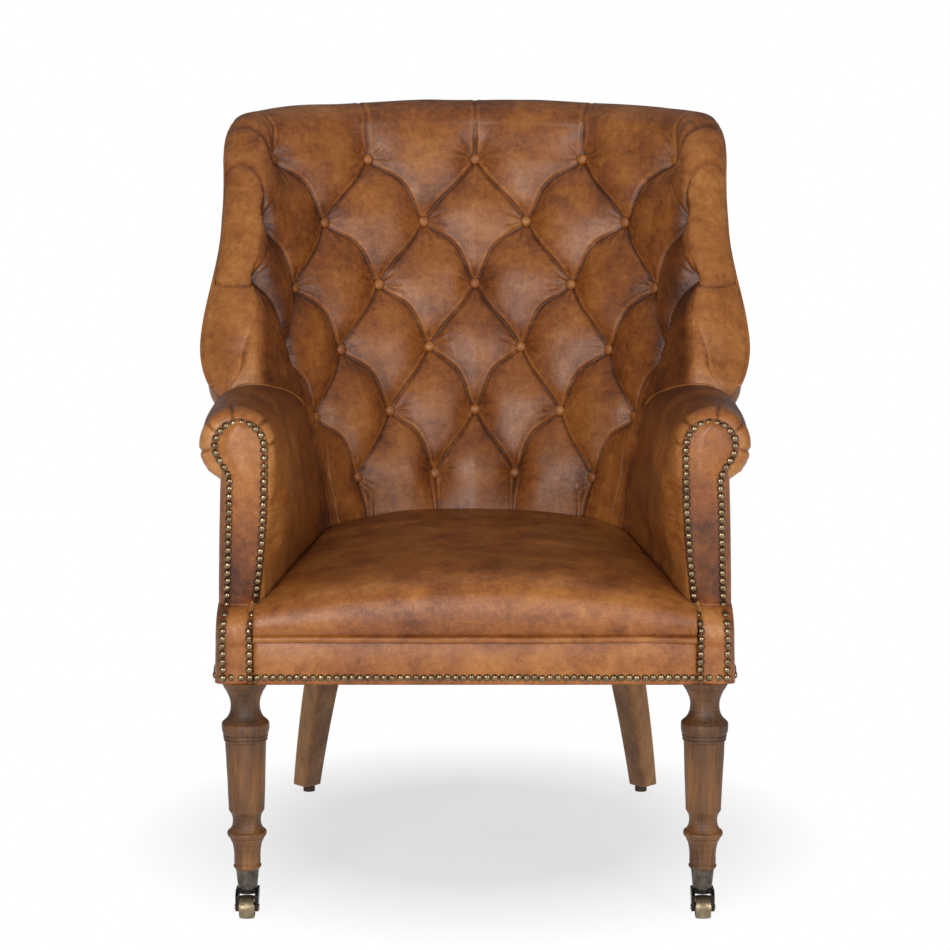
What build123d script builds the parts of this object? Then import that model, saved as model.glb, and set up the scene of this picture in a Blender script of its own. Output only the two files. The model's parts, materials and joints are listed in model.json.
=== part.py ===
from build123d import *
# Deep-buttoned leather barrel chair with wings, scroll arms, turned legs and cup casters.
#
# Millimetres, +Z up, the sitter looks along -Y, left is -X. While it is modelled, y = 0 is the
# axis of the front legs; every piece is moved at the end so that the origin lies on the floor
# under the middle of the chair.
#
# The barrel back is described by three coordinates. k counts tuft columns sideways from the
# middle of the back, z is height, and n is the depth into the upholstery, from the crowns of the
# tufts (n = 0) outwards. Sections at one k are flat, so every layer of the back is a ruled loft.
import os
from math import cos, floor, pi, radians, sin, sqrt

# Clearances
lay = 0.3              # between layers that lie on each other
running = 0.05         # radial, between a turning piece and its pin
dowel_fit = 0.05       # radial, between a leg's dowel and its hole

# Stance
frame_height = 313.0   # floor to the underside of the seat frame
front_leg_x = 295.0    # from the middle plane to each front leg's axis
rear_leg_splay = 54.0  # how far a rear foot stands outside the top of its leg
rear_leg_rake = 145.0  # how far a rear foot stands behind the top of its leg
rear_leg_sweep = 0.25  # share of that rake which grows towards the foot
dowel_radius = 11.0    # of the dowel on top of a front leg
dowel_length = 42.0

# Seat frame
rail_height = 52.0
rail_thickness = 28.0
border_thickness = 4.0
post_width = 58.0
post_depth = 57.7
block_leg = 46.0       # of the glued corner blocks, along the front rail
block_lift = 12.0      # of those blocks above the underside of the frame
frame_front = -24.0    # front face of the leather on the seat frame

# Seat
seat_thickness = 94.0      # from the webbing to the crest of the seat
seat_overhang = 13.0       # how far the seat bulges in front of the border
seat_depth = 480.0         # y of the back's crowns at the crest of the seat, on the middle plane
seat_leather = 2.5
webbing_thickness = 1.6
seat_dip = 13.0            # from the crest of the seat to its line along the arms
webbing_width = 52.0
webbing_lap = 8.0          # how far the straps reach onto the front and back rails
webbing_gap = 6.0          # between the outer straps and the rear legs
webbing_start = 90.0       # y of the first cross strap
webbing_pitch = 90.0       # of the cross straps
cross_straps = 4
piping_radius = 4.5

# Crown of the seat, section by section: a place, then the drop from the crest at the sides and in
# the middle. The place is the distance from the front edge, y between the arms, or k at the back.
nose_sections = ((0.0, 64.0, 46.0), (6.0, 51.0, 27.0), (26.0, 40.0, 14.0))
middle_sections = ((60.0, 31.0, 4.0), (200.0, 24.0, 0.0), (320.0, 22.0, 0.0))
back_sections = ((4.0, 21.0, 2.0), (3.4, 20.0, 4.0), (2.7, 19.0, 6.0), (1.7, 17.0, 9.0))
side_draw = 3.0            # how far the seat's sides draw in at the bottom
side_turn = 1.5            # how far they have turned in at the top

# Barrel back
back_height = 1060.0       # top of the back on the middle plane
back_rake = 0.243          # how far the back leans per millimetre of height
barrel_flare = 0.00069     # how much the barrel widens per millimetre of height
back_radius = 400.0        # of the middle of the back, in plan, at the third row of buttons
back_half_angle = 20.0     # degrees of that arc each side of the middle plane
corner_radius = 220.0      # of the barrel's corners, in plan
wing_heading = 66.0        # degrees that the plan has turned where the wings begin
column_pitch = 69.0        # tuft columns, along the plan, at the third row of buttons
row_pitch = 92.0           # tuft rows
top_row_drop = 90.0        # from the top of the back to the first row of buttons
crown_drop = 22.0          # how far the top line falls from the middle to the wings
wing_fall = 137.0          # how far the wing's edge falls per tuft column
ear_round = 0.5            # columns over which the top line bends into the wing's edge
wing_sink = 17.0           # from the top of the arm down to the base of the wing
wing_column = 4.25         # k of the seam between the back and the wings
wing_end = 6.85            # k of the wing's front end
wing_nose = 6.45           # k where the wing's front begins to round off
fold_end = 1.6             # columns from that seam to the end of the wing's folds
fold_lift = 12.0           # of the wing's lower fold above its base
fold_least = 4.0           # and towards the wing's nose
fold_fade = 0.8            # how much shallower the folds are at the front end
tuck = 33.0                # how far the back goes down behind the seat

# Upholstery of the back
pad_thickness = 42.0
roll_lip = 4.0             # how far the top roll starts behind the crowns
roll_drop = 22.0           # from the top line to the edge of the outside leather
fold_depth = 17.0          # of the folds between buttons
button_pull = 27.0         # of the folds at the buttons
button_radius = 8.0
button_height = 5.0
wall_back = 91.0           # from the crowns to the outside leather, at the back
wall_wing = 63.0           # the same at the wings
thin_start = 3.4           # k where the wall begins to thin
thin_end = 5.1             # k where it has the thickness of the wings
ear_flare = 26.0           # how much the wing's front end spreads outwards
flare_start = 5.3          # k where it begins to spread
flare_end = 6.5            # k where it is spread
nose_narrowing = 0.72      # how far the wing's front end closes, as a share of its thickness
shoulder_drop = 6.6        # from the top line to the middle of the roll's outer curve
shoulder_share = 0.72      # how far out that point lies, as a share of the roll
leather = 3.0              # outside leather with its backing
frame_thickness = 24.0     # of the wooden back frame
top_rail_height = 46.0
board_end = 0.35           # columns from the wing's board to where the nose begins
foam_inset = 0.25          # columns from the stuffing to the wing seam
back_strap_pitch = 1.3     # columns between the upright straps
back_strap_half = 0.35     # half their width, in columns
back_strap_drop = 6.0      # from the frame's top edge to their ends
button_seat = 3.0          # how far a button stands proud of the bottom of its fold

# Arms
arm_height = 662.0         # top of the scroll at the front
scroll_radius = 46.0
scroll_x = 301.0           # of the scroll's axis at the front
scroll_swell = 10.0        # how much the roll grows up to the wing
swell_y = 200.0            # y where it is largest
swell_shift = 2.0          # how far the axis has moved outwards there
join_run = 120.0           # from there to where the roll runs into the wing
join_column = 5.75         # k of the wing's outside that it meets
join_proud = 8.0           # how far it stands outside the wing there
join_swell = 11.0          # how far its inner side comes in there
rear_proud = 4.0           # how far it stands outside the back at its rear end
rear_roll_depth = 14.0     # depth n of its inner side there
rear_seat_depth = 12.0     # depth n of the arm's seat side there
roll_under = -50           # degrees below the axis where the outside of the roll ends
inner_hollow = 2.0         # how far the inside arm is hollow below the roll
arm_lead = 30.0            # of the arm's first section in front of the scroll's face
arm_overrun = 0.3          # columns that the room for the arm runs into the back
roll_padding = 16.0
side_padding = 20.0
arm_seat_x = 272.0         # inside face of the arm beside the seat, at the front
arm_seat_taper = 0.148     # how much that face comes in per millimetre of depth
arm_base_lift = 15.0       # from the seat rails up to the lower edge of the inside arm
panel_tuck = 33.0          # from the scroll's axis down to the top of the outside arm, at the front
panel_tuck_rear = 30.0     # the same at the back
arm_lean = 4.0             # how far the outside arm stands out at the floor
scroll_face = -14.0        # y of the facing at the scroll
waist_face = 6.0           # y of the facing at its waist
waist_lift = 45.0          # from the seat rails up to the facing's waist
facing_thickness = 4.0
facing_edge = 5.0          # from the nails to the edge of the facing
nail_radius_line = 31.0    # of the nail arch on the facing
face_neck = 16.0           # from the scroll's axis down to where the facing begins to curve
face_shoulder = 48.0       # from the waist down to where it is upright again
face_bow = 4.0             # how far it bows forward above the waist
face_swell = 6.0           # from the upright part back to the middle of the lower curve
face_fold = 12.0           # from the waist down to that point

# Nail line round the facing, from the front leg's axis unless it says otherwise
facing_inset = 8.0         # inwards to the inner row
facing_foot = 26.0         # outwards to the outer row at the foot
facing_waist = 21.0        # outwards to the outer row at the waist
arch_shift = 2.0           # outwards to the middle of the arch
neck_drop = 36.0           # from the scroll's axis down to the neck
neck_half = 12.5           # from the middle of the arch out to the neck
cheek_half = 24.0          # from the middle of the arch out to the curve above the neck
cheek_drop = 14.0          # from the scroll's axis down to it
inner_bow = 2.0            # how far the inner row bows outwards below the arch
inner_bow_drop = 40.0      # from the neck down to that place
waist_rise = 25.0          # from the waist's height up to the end of the outer row's straight part
kink_drop = 7.0            # from the inside arm's lower edge down to the foot's outer corner
stump_gap = 4.0            # between the inside arm and the arm stump
stump_neck = 14.0          # outwards to the stump's outside at the neck
stump_foot = 24.0          # the same at the seat frame
stump_root = 10.0          # how deep the stump runs into the corner block
panel_reach = 110.0        # half the width of the block that trims the front of the arm

# Nails
nail_pitch = 10.0
nail_radius = 4.7
nail_height = 2.6
nail_gap = 0.1             # between a head and the leather
nail_lift = 6.0            # from the bottom edge to the row along it

# Turned front leg: radius and height of each step, and for an arc its middle and its end.
# The lower ones are measured up from the rim of the cup, the upper ones down from the frame.
lower_turnings = (((16.4, 0.3),), ((17.6, 4.0), (16.6, 8.0)), ((16.2, 20.0), (19.6, 37.0)),
                  ((25.2, 48.0), (18.6, 60.0)), ((17.4, 66.0), (19.5, 74.0)), ((22.6, 79.0),),
                  ((22.6, 83.0),))
upper_turnings = (((26.0, 80.0),), ((26.0, 77.0),), ((28.8, 75.0),), ((28.8, 71.0),),
                  ((32.0, 61.0), (27.4, 51.0)), ((20.4, 45.0), (19.1, 38.0)),
                  ((20.6, 27.0), (26.0, 20.0)), ((29.6, 14.0),), ((29.6, 0.0),))

# Casters
wheel_radius = 15.5
wheel_width = 20.0
caster_trail = 12.0        # the axle lies this far in front of the swivel
cup_top = 64.0
cup_top_radius = 15.0
cup_bottom_radius = 12.4
cup_wall = 1.5
cup_floor = 3.0
fork_thickness = 4.0
fork_gap = 0.7             # each side of the wheel
crown_thickness = 5.5
wheel_gap = 1.2            # between the wheel and the fork's crown
axle_radius = 2.5
pivot_radius = 4.0
rivet_lip = 1.2            # of the rivet's head round the pivot
rivet_head = 1.0           # height of that head
cheek_margin = 3.5         # of the fork's cheek round the axle
crown_margin = 5.0         # of the fork's crown behind the pivot
crown_setback = 2.0        # from the axle back to the front of the crown
axle_head = 1.2            # height and lip of the axle's heads
hub_radius = 6.0           # of the wheel
hub_slope = 1.0            # of the hub's and the rim's flanks
wheel_dish = 2.0           # depth of the wheel's hollow faces
rim_width = 2.0            # of the rim's flat face
rim_set = 0.5              # of that face behind the hub's
tread_crown = 1.0          # how far the tread is crowned

# Rear legs
rear_leg_top_size = 46.0
rear_leg_foot_size = 33.0
rear_leg_ease = 3.0        # half the flat on the leg's eased edges
rear_leg_cuts = (1.0, 0.77, 0.53, 0.29, 0.13)   # its sections, as shares of the frame's height
rear_leg_rise = 7.0        # of the leg's top above the rails
rear_leg_half = 0.62       # columns from the leg's middle to the end of the back rail
back_post_half = 0.3       # columns from the post's middle to its side
side_rail_gap = 10.0       # between the side rail and the rear leg
rear_leg_column = 3.3      # k of the rear legs
rear_leg_inset = 36.0      # from the outside leather to the leg's middle
glide_radius = 9.0
glide_height = 10.0

# Dust cover under the frame
cloth_thickness = 1.0
cloth_inset = 8.0          # from the corner posts
cloth_front = 6.0          # behind the leather of the border
cloth_leg = 10.0           # in front of the rear legs
cloth_leg_side = 14.0      # beside them
cloth_leg_back = 24.0      # behind their middle
cloth_leg_inset = 18.0     # inwards from their middle

# Heights that follow
rail_top = frame_height + rail_height
seat_bottom = rail_top + 2 * webbing_thickness + 3 * lay
seat_crest = seat_bottom + seat_thickness
tuck_height = seat_crest - tuck
first_row = back_height - top_row_drop
middle_row = first_row - 2 * row_pitch
wing_base = arm_height - wing_sink
arm_seat_line = seat_crest - seat_dip
arm_base = rail_top + arm_base_lift
waist_height = rail_top + waist_lift
scroll_z = arm_height - scroll_radius
rear_leg_top = rail_top + rear_leg_rise
axle_z = wheel_radius
crown_bottom = 2 * wheel_radius + wheel_gap
cup_bottom = crown_bottom + crown_thickness + lay


def plan(k):
    """Point and outward direction on the barrel's plan, k columns from the middle of the back."""
    run = abs(k) * column_pitch
    side = 1 if k >= 0 else -1
    back_angle = radians(back_half_angle)
    wing_angle = radians(wing_heading)
    back_run = back_radius * back_angle
    corner_run = corner_radius * (wing_angle - back_angle)
    if run < back_run:
        angle = run / back_radius
        x = back_radius * sin(angle)
        y = -back_radius * (1 - cos(angle))
    else:
        angle = min(wing_angle, back_angle + (run - back_run) / corner_radius)
        rest = max(0.0, run - back_run - corner_run)
        x = back_radius * sin(back_angle) + corner_radius * (sin(angle) - sin(back_angle))
        y = -back_radius * (1 - cos(back_angle)) - corner_radius * (cos(back_angle) - cos(angle))
        x += rest * cos(wing_angle)
        y -= rest * sin(wing_angle)
    return side * x, y, (side * sin(angle), cos(angle))


def barrel(k, z, n):
    """Point of the upholstered back at column k, height z and depth n."""
    x, y, (out_x, out_y) = plan(k)
    spread = 1 + barrel_flare * (z - middle_row)
    lean = seat_depth + back_rake * (z - seat_crest)
    return Vector(x * spread + n * out_x, lean + y * spread + n * out_y, z)


def smooth(value, start, end):
    """0 before start, 1 after end, and an even slope between."""
    t = min(1.0, max(0.0, (value - start) / (end - start)))
    return t * t * (3 - 2 * t)


def wall(k, z=back_height):
    """Depth of the outside leather: the wall thins at the wings and is upright below the seat."""
    k = abs(k)
    thin = (wall_back - wall_wing) * smooth(k, thin_start, thin_end)
    flare = ear_flare * smooth(k, flare_start, flare_end)
    return wall_back - thin + flare + back_rake * max(0.0, seat_crest - z)


def edge_height(k):
    """Height of the top line, which bends down along the front edge of the wings."""
    k = abs(k)
    crown = back_height - crown_drop * min(1.0, k / wing_column) ** 2
    past = k - wing_column + ear_round / 2
    if past <= 0:
        return crown
    if past < ear_round:
        return crown - wing_fall * past ** 2 / (2 * ear_round)
    return crown - wing_fall * (past - ear_round / 2)


def outline(place, start, *steps):
    """Closed wire from start through steps: [end] is a straight one, [middle, end] an arc."""
    edges = []
    here = start
    for *middle, end in steps:
        if middle:
            edges.append(Edge.make_three_point_arc(place(*here), place(*middle[0]), place(*end)))
        else:
            edges.append(Edge.make_line(place(*here), place(*end)))
        here = end
    if here != start:
        edges.append(Edge.make_line(place(*here), place(*start)))
    return Wire(edges)


def swept(wires):
    """Ruled solid through flat sections."""
    return Solid.make_loft(wires, ruled=True)


def prism(points, z0, z1):
    """Upright solid on a plan polygon."""
    wire = outline(lambda x, y: Vector(x, y, z0), points[0], *[[p] for p in points[1:]])
    return extrude(Face(wire), amount=z1 - z0, dir=(0, 0, 1))


def turned(axis_x, start, *steps):
    """Solid of revolution about an upright axis; steps are radius and height."""
    wire = outline(lambda r, z: Vector(r, 0, z), start, *steps)
    return Pos(axis_x, 0, 0) * revolve(Face(wire), axis=Axis.Z)


def stations(first, last):
    """Columns of the sections between two columns. All layers share them, so that they nest."""
    back = [i + t for i in range(-5, 5) for t in (0.1, 0.37, 0.63, 0.9)]
    wing = [wing_column + 0.4 * ear_round]
    wing += [wing_column + fold_end * i / 4 for i in range(1, 5)]
    nose = wing_end - wing_nose
    wing += [wing_nose - 0.3, wing_nose, wing_nose + 0.5 * nose, wing_nose + 0.85 * nose]
    shared = [k for k in back if abs(k) < wing_column]
    shared += wing + [-k for k in wing]
    between = [k for k in sorted(shared) if first + 0.05 < k < last - 0.05]
    return [first] + between + [last]


def layer(k0, k1, low, high, near, far):
    """Curved slab of the back; low, high, near and far give heights and depths at a column."""
    wires = []
    for k in stations(k0, k1):
        heights = [low(k), high(k)]
        if heights[0] < seat_crest < heights[1]:
            heights.insert(1, seat_crest)
        front = [(z, near(k, z)) for z in heights]
        back = [(z, far(k, z)) for z in reversed(heights)]
        corners = front + back
        wires.append(outline(lambda z, n, k=k: barrel(k, z, n), corners[0], *[[c] for c in corners[1:]]))
    return swept(wires)


def bulge(length):
    """Share of a tuft's full crown that a stretch of this length rises to."""
    share = min(1.0, length / (2 * row_pitch))
    return 1 - (1 - share) ** 2


def scallops(marks):
    """Arcs over the crowns between marks, each a height and a depth, from the bottom up."""
    steps = []
    for (z0, n0), (z1, n1) in zip(marks, marks[1:]):
        valley = (n0 + n1) / 2
        middle = ((z0 + z1) / 2, valley * (1 - bulge(z1 - z0)))
        steps.append([middle, (z1, n1)])
    return steps


def padded_section(k, marks):
    """Section of the buttoned pad: crowns up the inside, then the roll over the top."""
    top = edge_height(k)
    radius = pad_thickness - roll_lip
    outer = wall(k)
    root = cos(pi / 4) * radius
    shoulder = (top - shoulder_drop, pad_thickness + shoulder_share * (outer - pad_thickness))
    steps = scallops(marks + [(top - radius, roll_lip)])
    steps.append([(top - radius + root, pad_thickness - root), (top, pad_thickness)])
    steps.append([shoulder, (top - roll_drop, outer)])
    hollow = pad_thickness if abs(k) < wing_nose - 0.1 else outer - leather
    steps.append([(top - roll_drop, hollow)])
    steps.append([(marks[0][0], hollow)])
    turn = max(0.0, abs(k) - wing_nose) / (wing_end - wing_nose)
    narrow = sqrt(1 - nose_narrowing * turn ** 2)
    middle = outer / 2
    return outline(lambda z, n: barrel(k, z, middle + (n - middle) * narrow), marks[0], *steps)


def off_column(k):
    """How far k lies from the nearest even column, from 0 on it to 1 on an odd column."""
    return abs(k - 2 * round(k / 2))


def fold(k):
    """Depth of the folds at k: deepest beside the buttons."""
    return button_pull if off_column(k) < 0.2 or off_column(k) > 0.8 else fold_depth


def inside_back():
    """Diamond-tufted pad. Between an even and an odd column the folds run from row to row."""
    end = wing_column - lay / column_pitch
    wires = []
    for k in stations(-end, end):
        t = off_column(k)
        marks = [(tuck_height, fold_depth)]
        for row in (4 + t, 4 - t, 2 + t, 2 - t, t):
            marks.append((first_row - row * row_pitch, fold(k)))
        wires.append(padded_section(k, marks))
    return swept(wires)


def inside_wing():
    """Right wing pad with two folds that run out towards its nose, cut to sit on the arm."""
    wires = []
    last_fold = wing_column + fold_end
    for k in stations(wing_column, wing_end):
        roll_start = edge_height(k) - pad_thickness + roll_lip
        gap = min(fold_lift, max(fold_least, (roll_start - wing_base) / 3))
        upper = first_row - (min(k, last_fold) - 4) * row_pitch
        upper = min(upper, roll_start - gap)
        lower = first_row - (8 - min(k, last_fold)) * row_pitch
        lower = min(max(lower, wing_base + gap), upper - gap)
        base = min(wing_base, lower - gap)
        depth = fold_depth * (1 - fold_fade * smooth(k, last_fold, wing_end))
        wires.append(padded_section(k, [(base, fold_depth / 2), (lower, depth), (upper, depth)]))
    return swept(wires) - arm_space()


def arm_stations():
    """Sections of the right arm: a place for each, the roll's centre, radius and the seat side."""
    def upright(y):
        return lambda h, z: Vector(h, y, z)

    def seat_side(y):
        return arm_seat_x - arm_seat_taper * y

    start = scroll_face - arm_lead
    join = swell_y + join_run
    last = wing_column + lay / column_pitch
    join_outer = barrel(join_column, scroll_z, wall(join_column)).X + join_proud
    join_inner = scroll_x - scroll_radius - join_swell
    rear_outer = wall(last) + rear_proud
    return [
        (upright(start), scroll_x, scroll_radius, seat_side(start)),
        (upright(swell_y), scroll_x + swell_shift, scroll_radius + scroll_swell, seat_side(swell_y)),
        (upright(join), (join_outer + join_inner) / 2, (join_outer - join_inner) / 2, seat_side(join)),
        (lambda n, z: barrel(last, z, n), (rear_roll_depth + rear_outer) / 2,
         (rear_outer - rear_roll_depth) / 2, rear_seat_depth),
    ]


def on_roll(centre, radius, angle):
    """Point of a roll's section, with the angle from outwards, over the top, to inwards."""
    return centre + radius * cos(radians(angle)), scroll_z + radius * sin(radians(angle))


def arm_pad():
    """Stuffed inside arm and scroll roll, hollow where the arm's frame runs."""
    wires = []
    for place, centre, radius, seat_side in arm_stations():
        core = radius - roll_padding
        inner = centre - radius
        hang = ((inner + seat_side) / 2 - inner_hollow, (scroll_z + arm_seat_line) / 2)
        wires.append(outline(
            place, on_roll(centre, radius, roll_under),
            [on_roll(centre, radius, 20), on_roll(centre, radius, 90)],
            [on_roll(centre, radius, 135), (inner, scroll_z)],
            [hang, (seat_side, arm_seat_line)],
            [(seat_side, arm_base)],
            [(seat_side + side_padding, arm_base)],
            [(seat_side + side_padding, arm_seat_line)],
            [on_roll(centre, core, 180)],
            [on_roll(centre, core, 135), on_roll(centre, core, 90)],
            [on_roll(centre, core, 20), on_roll(centre, core, roll_under)]))
    return swept(wires) & face_slab(facing_thickness + lay, seat_depth)


def arm_space():
    """The arm's whole outline with its clearance, which the wing is cut to sit on."""
    wires = []
    sections = arm_stations()
    rear = wing_column - arm_overrun
    sections.append((lambda n, z: barrel(rear, z, n), *sections[-1][1:]))
    for place, centre, radius, seat_side in sections:
        grown = radius + lay
        inner = centre - grown
        hang = ((inner + seat_side) / 2 - inner_hollow, (scroll_z + arm_seat_line) / 2)
        wires.append(outline(
            place, on_roll(centre, grown, roll_under),
            [on_roll(centre, grown, 20), on_roll(centre, grown, 90)],
            [on_roll(centre, grown, 135), (inner, scroll_z)],
            [hang, (seat_side - lay, arm_seat_line)]))
    return swept(wires)


def arm_rail():
    """Wooden rail in the arm's roll, round above and flat below, from the post to the back."""
    wires = []
    for place, centre, radius, seat_side in arm_stations():
        core = radius - roll_padding - 3 * lay
        wires.append(outline(
            place, on_roll(centre, core, -20),
            [on_roll(centre, core, 35), on_roll(centre, core, 90)],
            [on_roll(centre, core, 145), on_roll(centre, core, 200)]))
    return swept(wires) & face_slab(facing_thickness + rail_thickness + 2 * lay, seat_depth)


def facing_curve():
    """S-curve of the arm's front in y and z, from the scroll's face down to the bottom edge."""
    neck = scroll_z - face_neck
    shoulder = waist_height - face_shoulder
    bow = (scroll_face + waist_face) / 2 - face_bow
    return [[(scroll_face, neck)],
            [(bow, (neck + waist_height) / 2), (waist_face, waist_height)],
            [(frame_front + face_swell, waist_height - face_fold), (frame_front, shoulder)],
            [(frame_front, frame_height)]]


def face_slab(near, far):
    """Slab across the arm behind the facing's S-curve, between two distances from it."""
    top = arm_height + arm_lead
    curve = facing_curve()
    points = [(scroll_face, top)] + [p for step in curve for p in step]
    forward = [[(y + near, z) for y, z in step] for step in curve]
    back = [(y + far, z) for y, z in reversed(points)]
    returned = [[back[0]], [back[1]], [back[2], back[3]], [back[4], back[5]], [back[6]]]
    start = scroll_x - panel_reach
    wire = outline(lambda y, z: Vector(start, y, z), (scroll_face + near, top), *forward, *returned)
    return extrude(Face(wire), amount=2 * panel_reach, dir=(1, 0, 0))


def facing_outline(margin):
    """Outline of the arm's front in x and z, this far outside the line of the nails."""
    arch = nail_radius_line + margin
    axis = front_leg_x + arch_shift
    neck = scroll_z - neck_drop
    foot_in = front_leg_x - facing_inset - margin
    foot_out = front_leg_x + facing_foot + margin
    waist_out = front_leg_x + facing_waist + margin
    low = frame_height
    return [(foot_in, low),
            [(foot_in, arm_base)],
            [(axis - arch + inner_bow, neck - inner_bow_drop), (axis - arch, scroll_z)],
            [(axis, scroll_z + arch), (axis + arch, scroll_z)],
            [(axis + cheek_half + margin, scroll_z - cheek_drop), (axis + neck_half + margin, neck)],
            [(waist_out, waist_height + waist_rise)],
            [(foot_out, arm_base - kink_drop)],
            [(foot_out, low)]]


def front_piece(margin, near, far):
    """Piece of the arm's front: its outline cut from the S-curved slab."""
    start, *steps = facing_outline(margin)
    wire = outline(lambda x, z: Vector(x, frame_front - post_depth, z), start, *steps)
    return extrude(Face(wire), amount=2 * panel_reach, dir=(0, 1, 0)) & face_slab(near, far)


def arm_post():
    """Stump that carries the arm, with the corner block over the front leg and its dowel hole."""
    inner = front_leg_x - post_width / 2
    front = frame_front + border_thickness + lay
    block = Pos(inner, front, frame_height) * Box(
        post_width, post_depth, rail_height, align=(Align.MIN, Align.MIN, Align.MIN))
    arch = scroll_radius - roll_padding - 3 * lay
    seat_side = arm_seat_x + side_padding + stump_gap
    axis = scroll_x
    wire = outline(
        lambda x, z: Vector(x, frame_front - post_depth, z), (seat_side, rail_top - stump_root),
        [(seat_side, arm_seat_line)],
        [(axis - arch, scroll_z)],
        [(axis, scroll_z + arch), (axis + arch, scroll_z)],
        [(front_leg_x + stump_neck, scroll_z - neck_drop)],
        [(front_leg_x + stump_foot, rail_top - stump_root)])
    stump = extrude(Face(wire), amount=2 * panel_reach, dir=(0, 1, 0))
    stump &= face_slab(facing_thickness + lay, facing_thickness + lay + rail_thickness)
    hole = Pos(front_leg_x, 0, frame_height) * Cylinder(
        dowel_radius + dowel_fit, dowel_length + lay, align=(Align.CENTER, Align.CENTER, Align.MIN))
    return block + stump - hole


def front_leg():
    """Turned leg from the tip in the caster's cup up to the dowel in the corner block."""
    tip = cup_bottom + cup_floor + lay
    top = frame_height
    fit = cup_wall + lay
    lower = [[(r, cup_top + h) for r, h in step] for step in lower_turnings]
    upper = [[(r, top - h) for r, h in step] for step in upper_turnings]
    return turned(
        front_leg_x, (0, tip),
        [(cup_bottom_radius - fit, tip)],
        [(cup_top_radius - fit, cup_top + lay)],
        *lower,
        *upper,
        [(dowel_radius, top)],
        [(dowel_radius, top + dowel_length)],
        [(0, top + dowel_length)])


def caster_cup():
    """Tapered brass socket under the leg, with the rivet that the fork turns on."""
    low = cup_bottom
    rim = pivot_radius + rivet_lip
    return turned(
        front_leg_x, (0, crown_bottom - rivet_head),
        [(rim, crown_bottom - rivet_head)],
        [(rim, crown_bottom - running)],
        [(pivot_radius, crown_bottom - running)],
        [(pivot_radius, low)],
        [(cup_bottom_radius, low)],
        [(cup_top_radius, cup_top)],
        [(cup_top_radius - cup_wall, cup_top)],
        [(cup_bottom_radius - cup_wall, low + cup_floor)],
        [(0, low + cup_floor)])


def caster_fork():
    """Swivelling yoke: a round crown on the rivet and a cheek down each side of the wheel."""
    inside = wheel_width / 2 + fork_gap
    outside = inside + fork_thickness
    top = crown_bottom + crown_thickness
    tip = axle_radius + cheek_margin
    rear = pivot_radius + crown_margin
    front = -caster_trail + crown_setback

    def cheek_profile(y, z):
        return Vector(inside, y, z)

    wire = outline(
        cheek_profile, (-caster_trail - tip, axle_z),
        [(-caster_trail, axle_z - tip), (-caster_trail + tip, axle_z)],
        [(rear, crown_bottom)],
        [(rear, top)],
        [(front, top)],
        [(-caster_trail - tip, crown_bottom)])
    cheek = extrude(Face(wire), amount=fork_thickness, dir=(1, 0, 0))
    bridge = Pos(0, front, crown_bottom) * Box(
        2 * outside, rear - front, crown_thickness, align=(Align.CENTER, Align.MIN, Align.MIN))
    hub = Pos(0, 0, crown_bottom) * Cylinder(
        cup_bottom_radius, crown_thickness, align=(Align.CENTER, Align.CENTER, Align.MIN))
    body = bridge + hub + cheek + mirror(cheek, about=Plane.YZ)
    body -= Pos(0, 0, crown_bottom) * Cylinder(
        pivot_radius + running, 3 * crown_thickness, align=(Align.CENTER, Align.CENTER, Align.CENTER))
    body -= Pos(0, -caster_trail, axle_z) * Rot(0, 90, 0) * Cylinder(axle_radius, 4 * outside)
    return Pos(front_leg_x, 0, 0) * body


def caster_axle():
    """Pin through the cheeks, with a low head at each end."""
    outside = wheel_width / 2 + fork_gap + fork_thickness
    pin = Cylinder(axle_radius, 2 * outside)
    head = Pos(0, 0, outside) * Cylinder(
        axle_radius + axle_head, axle_head, align=(Align.CENTER, Align.CENTER, Align.MIN))
    whole = pin + head + mirror(head, about=Plane.XY)
    return Pos(front_leg_x, -caster_trail, axle_z) * Rot(0, 90, 0) * whole


def caster_wheel():
    """Brass roller with a crowned tread, hollow faces and a bored hub."""
    half = wheel_width / 2
    bore = axle_radius + running
    rim = wheel_radius - tread_crown - rim_width
    wire = outline(
        lambda r, h: Vector(r, 0, h), (bore, -half),
        [(hub_radius, -half)],
        [(hub_radius + hub_slope, -half + wheel_dish)],
        [(rim - hub_slope, -half + wheel_dish)],
        [(rim, -half + rim_set)],
        [(rim + rim_width, -half + rim_set)],
        [(wheel_radius, 0), (rim + rim_width, half - rim_set)],
        [(rim, half - rim_set)],
        [(rim - hub_slope, half - wheel_dish)],
        [(hub_radius + hub_slope, half - wheel_dish)],
        [(hub_radius, half)],
        [(bore, half)])
    wheel = revolve(Face(wire), axis=Axis.Z)
    return Pos(front_leg_x, -caster_trail, axle_z) * Rot(0, 90, 0) * wheel


def rear_leg_axis(z):
    """Middle of the rear leg at height z: nearly straight at the top, swept out at the foot."""
    k = rear_leg_column
    top = barrel(k, frame_height, wall(k, frame_height) - rear_leg_inset)
    down = max(0.0, (frame_height - z) / frame_height)
    sweep = (1 - rear_leg_sweep) * down + rear_leg_sweep * down ** 2
    return Vector(top.X + rear_leg_splay * down, top.Y + rear_leg_rake * sweep, z)


def rear_leg():
    """Square sabre leg set cornerwise, with eased edges, tapering to the foot."""
    wires = []
    heights = [rear_leg_top] + [cut * frame_height for cut in rear_leg_cuts] + [glide_height + lay]
    for z in heights:
        middle = rear_leg_axis(z)
        share = min(1.0, max(0.0, z / frame_height))
        size = rear_leg_foot_size + (rear_leg_top_size - rear_leg_foot_size) * share
        tip = size * sqrt(0.5)
        ease = rear_leg_ease
        corners = []
        for turn in range(4):
            c, s = cos(turn * pi / 2), sin(turn * pi / 2)
            for a, b in ((tip - ease, -ease), (tip - ease, ease)):
                corners.append((middle.X + a * c - b * s, middle.Y + a * s + b * c))
        wires.append(outline(lambda x, y, z=z: Vector(x, y, z), corners[0], *[[c] for c in corners[1:]]))
    return swept(wires)


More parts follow.
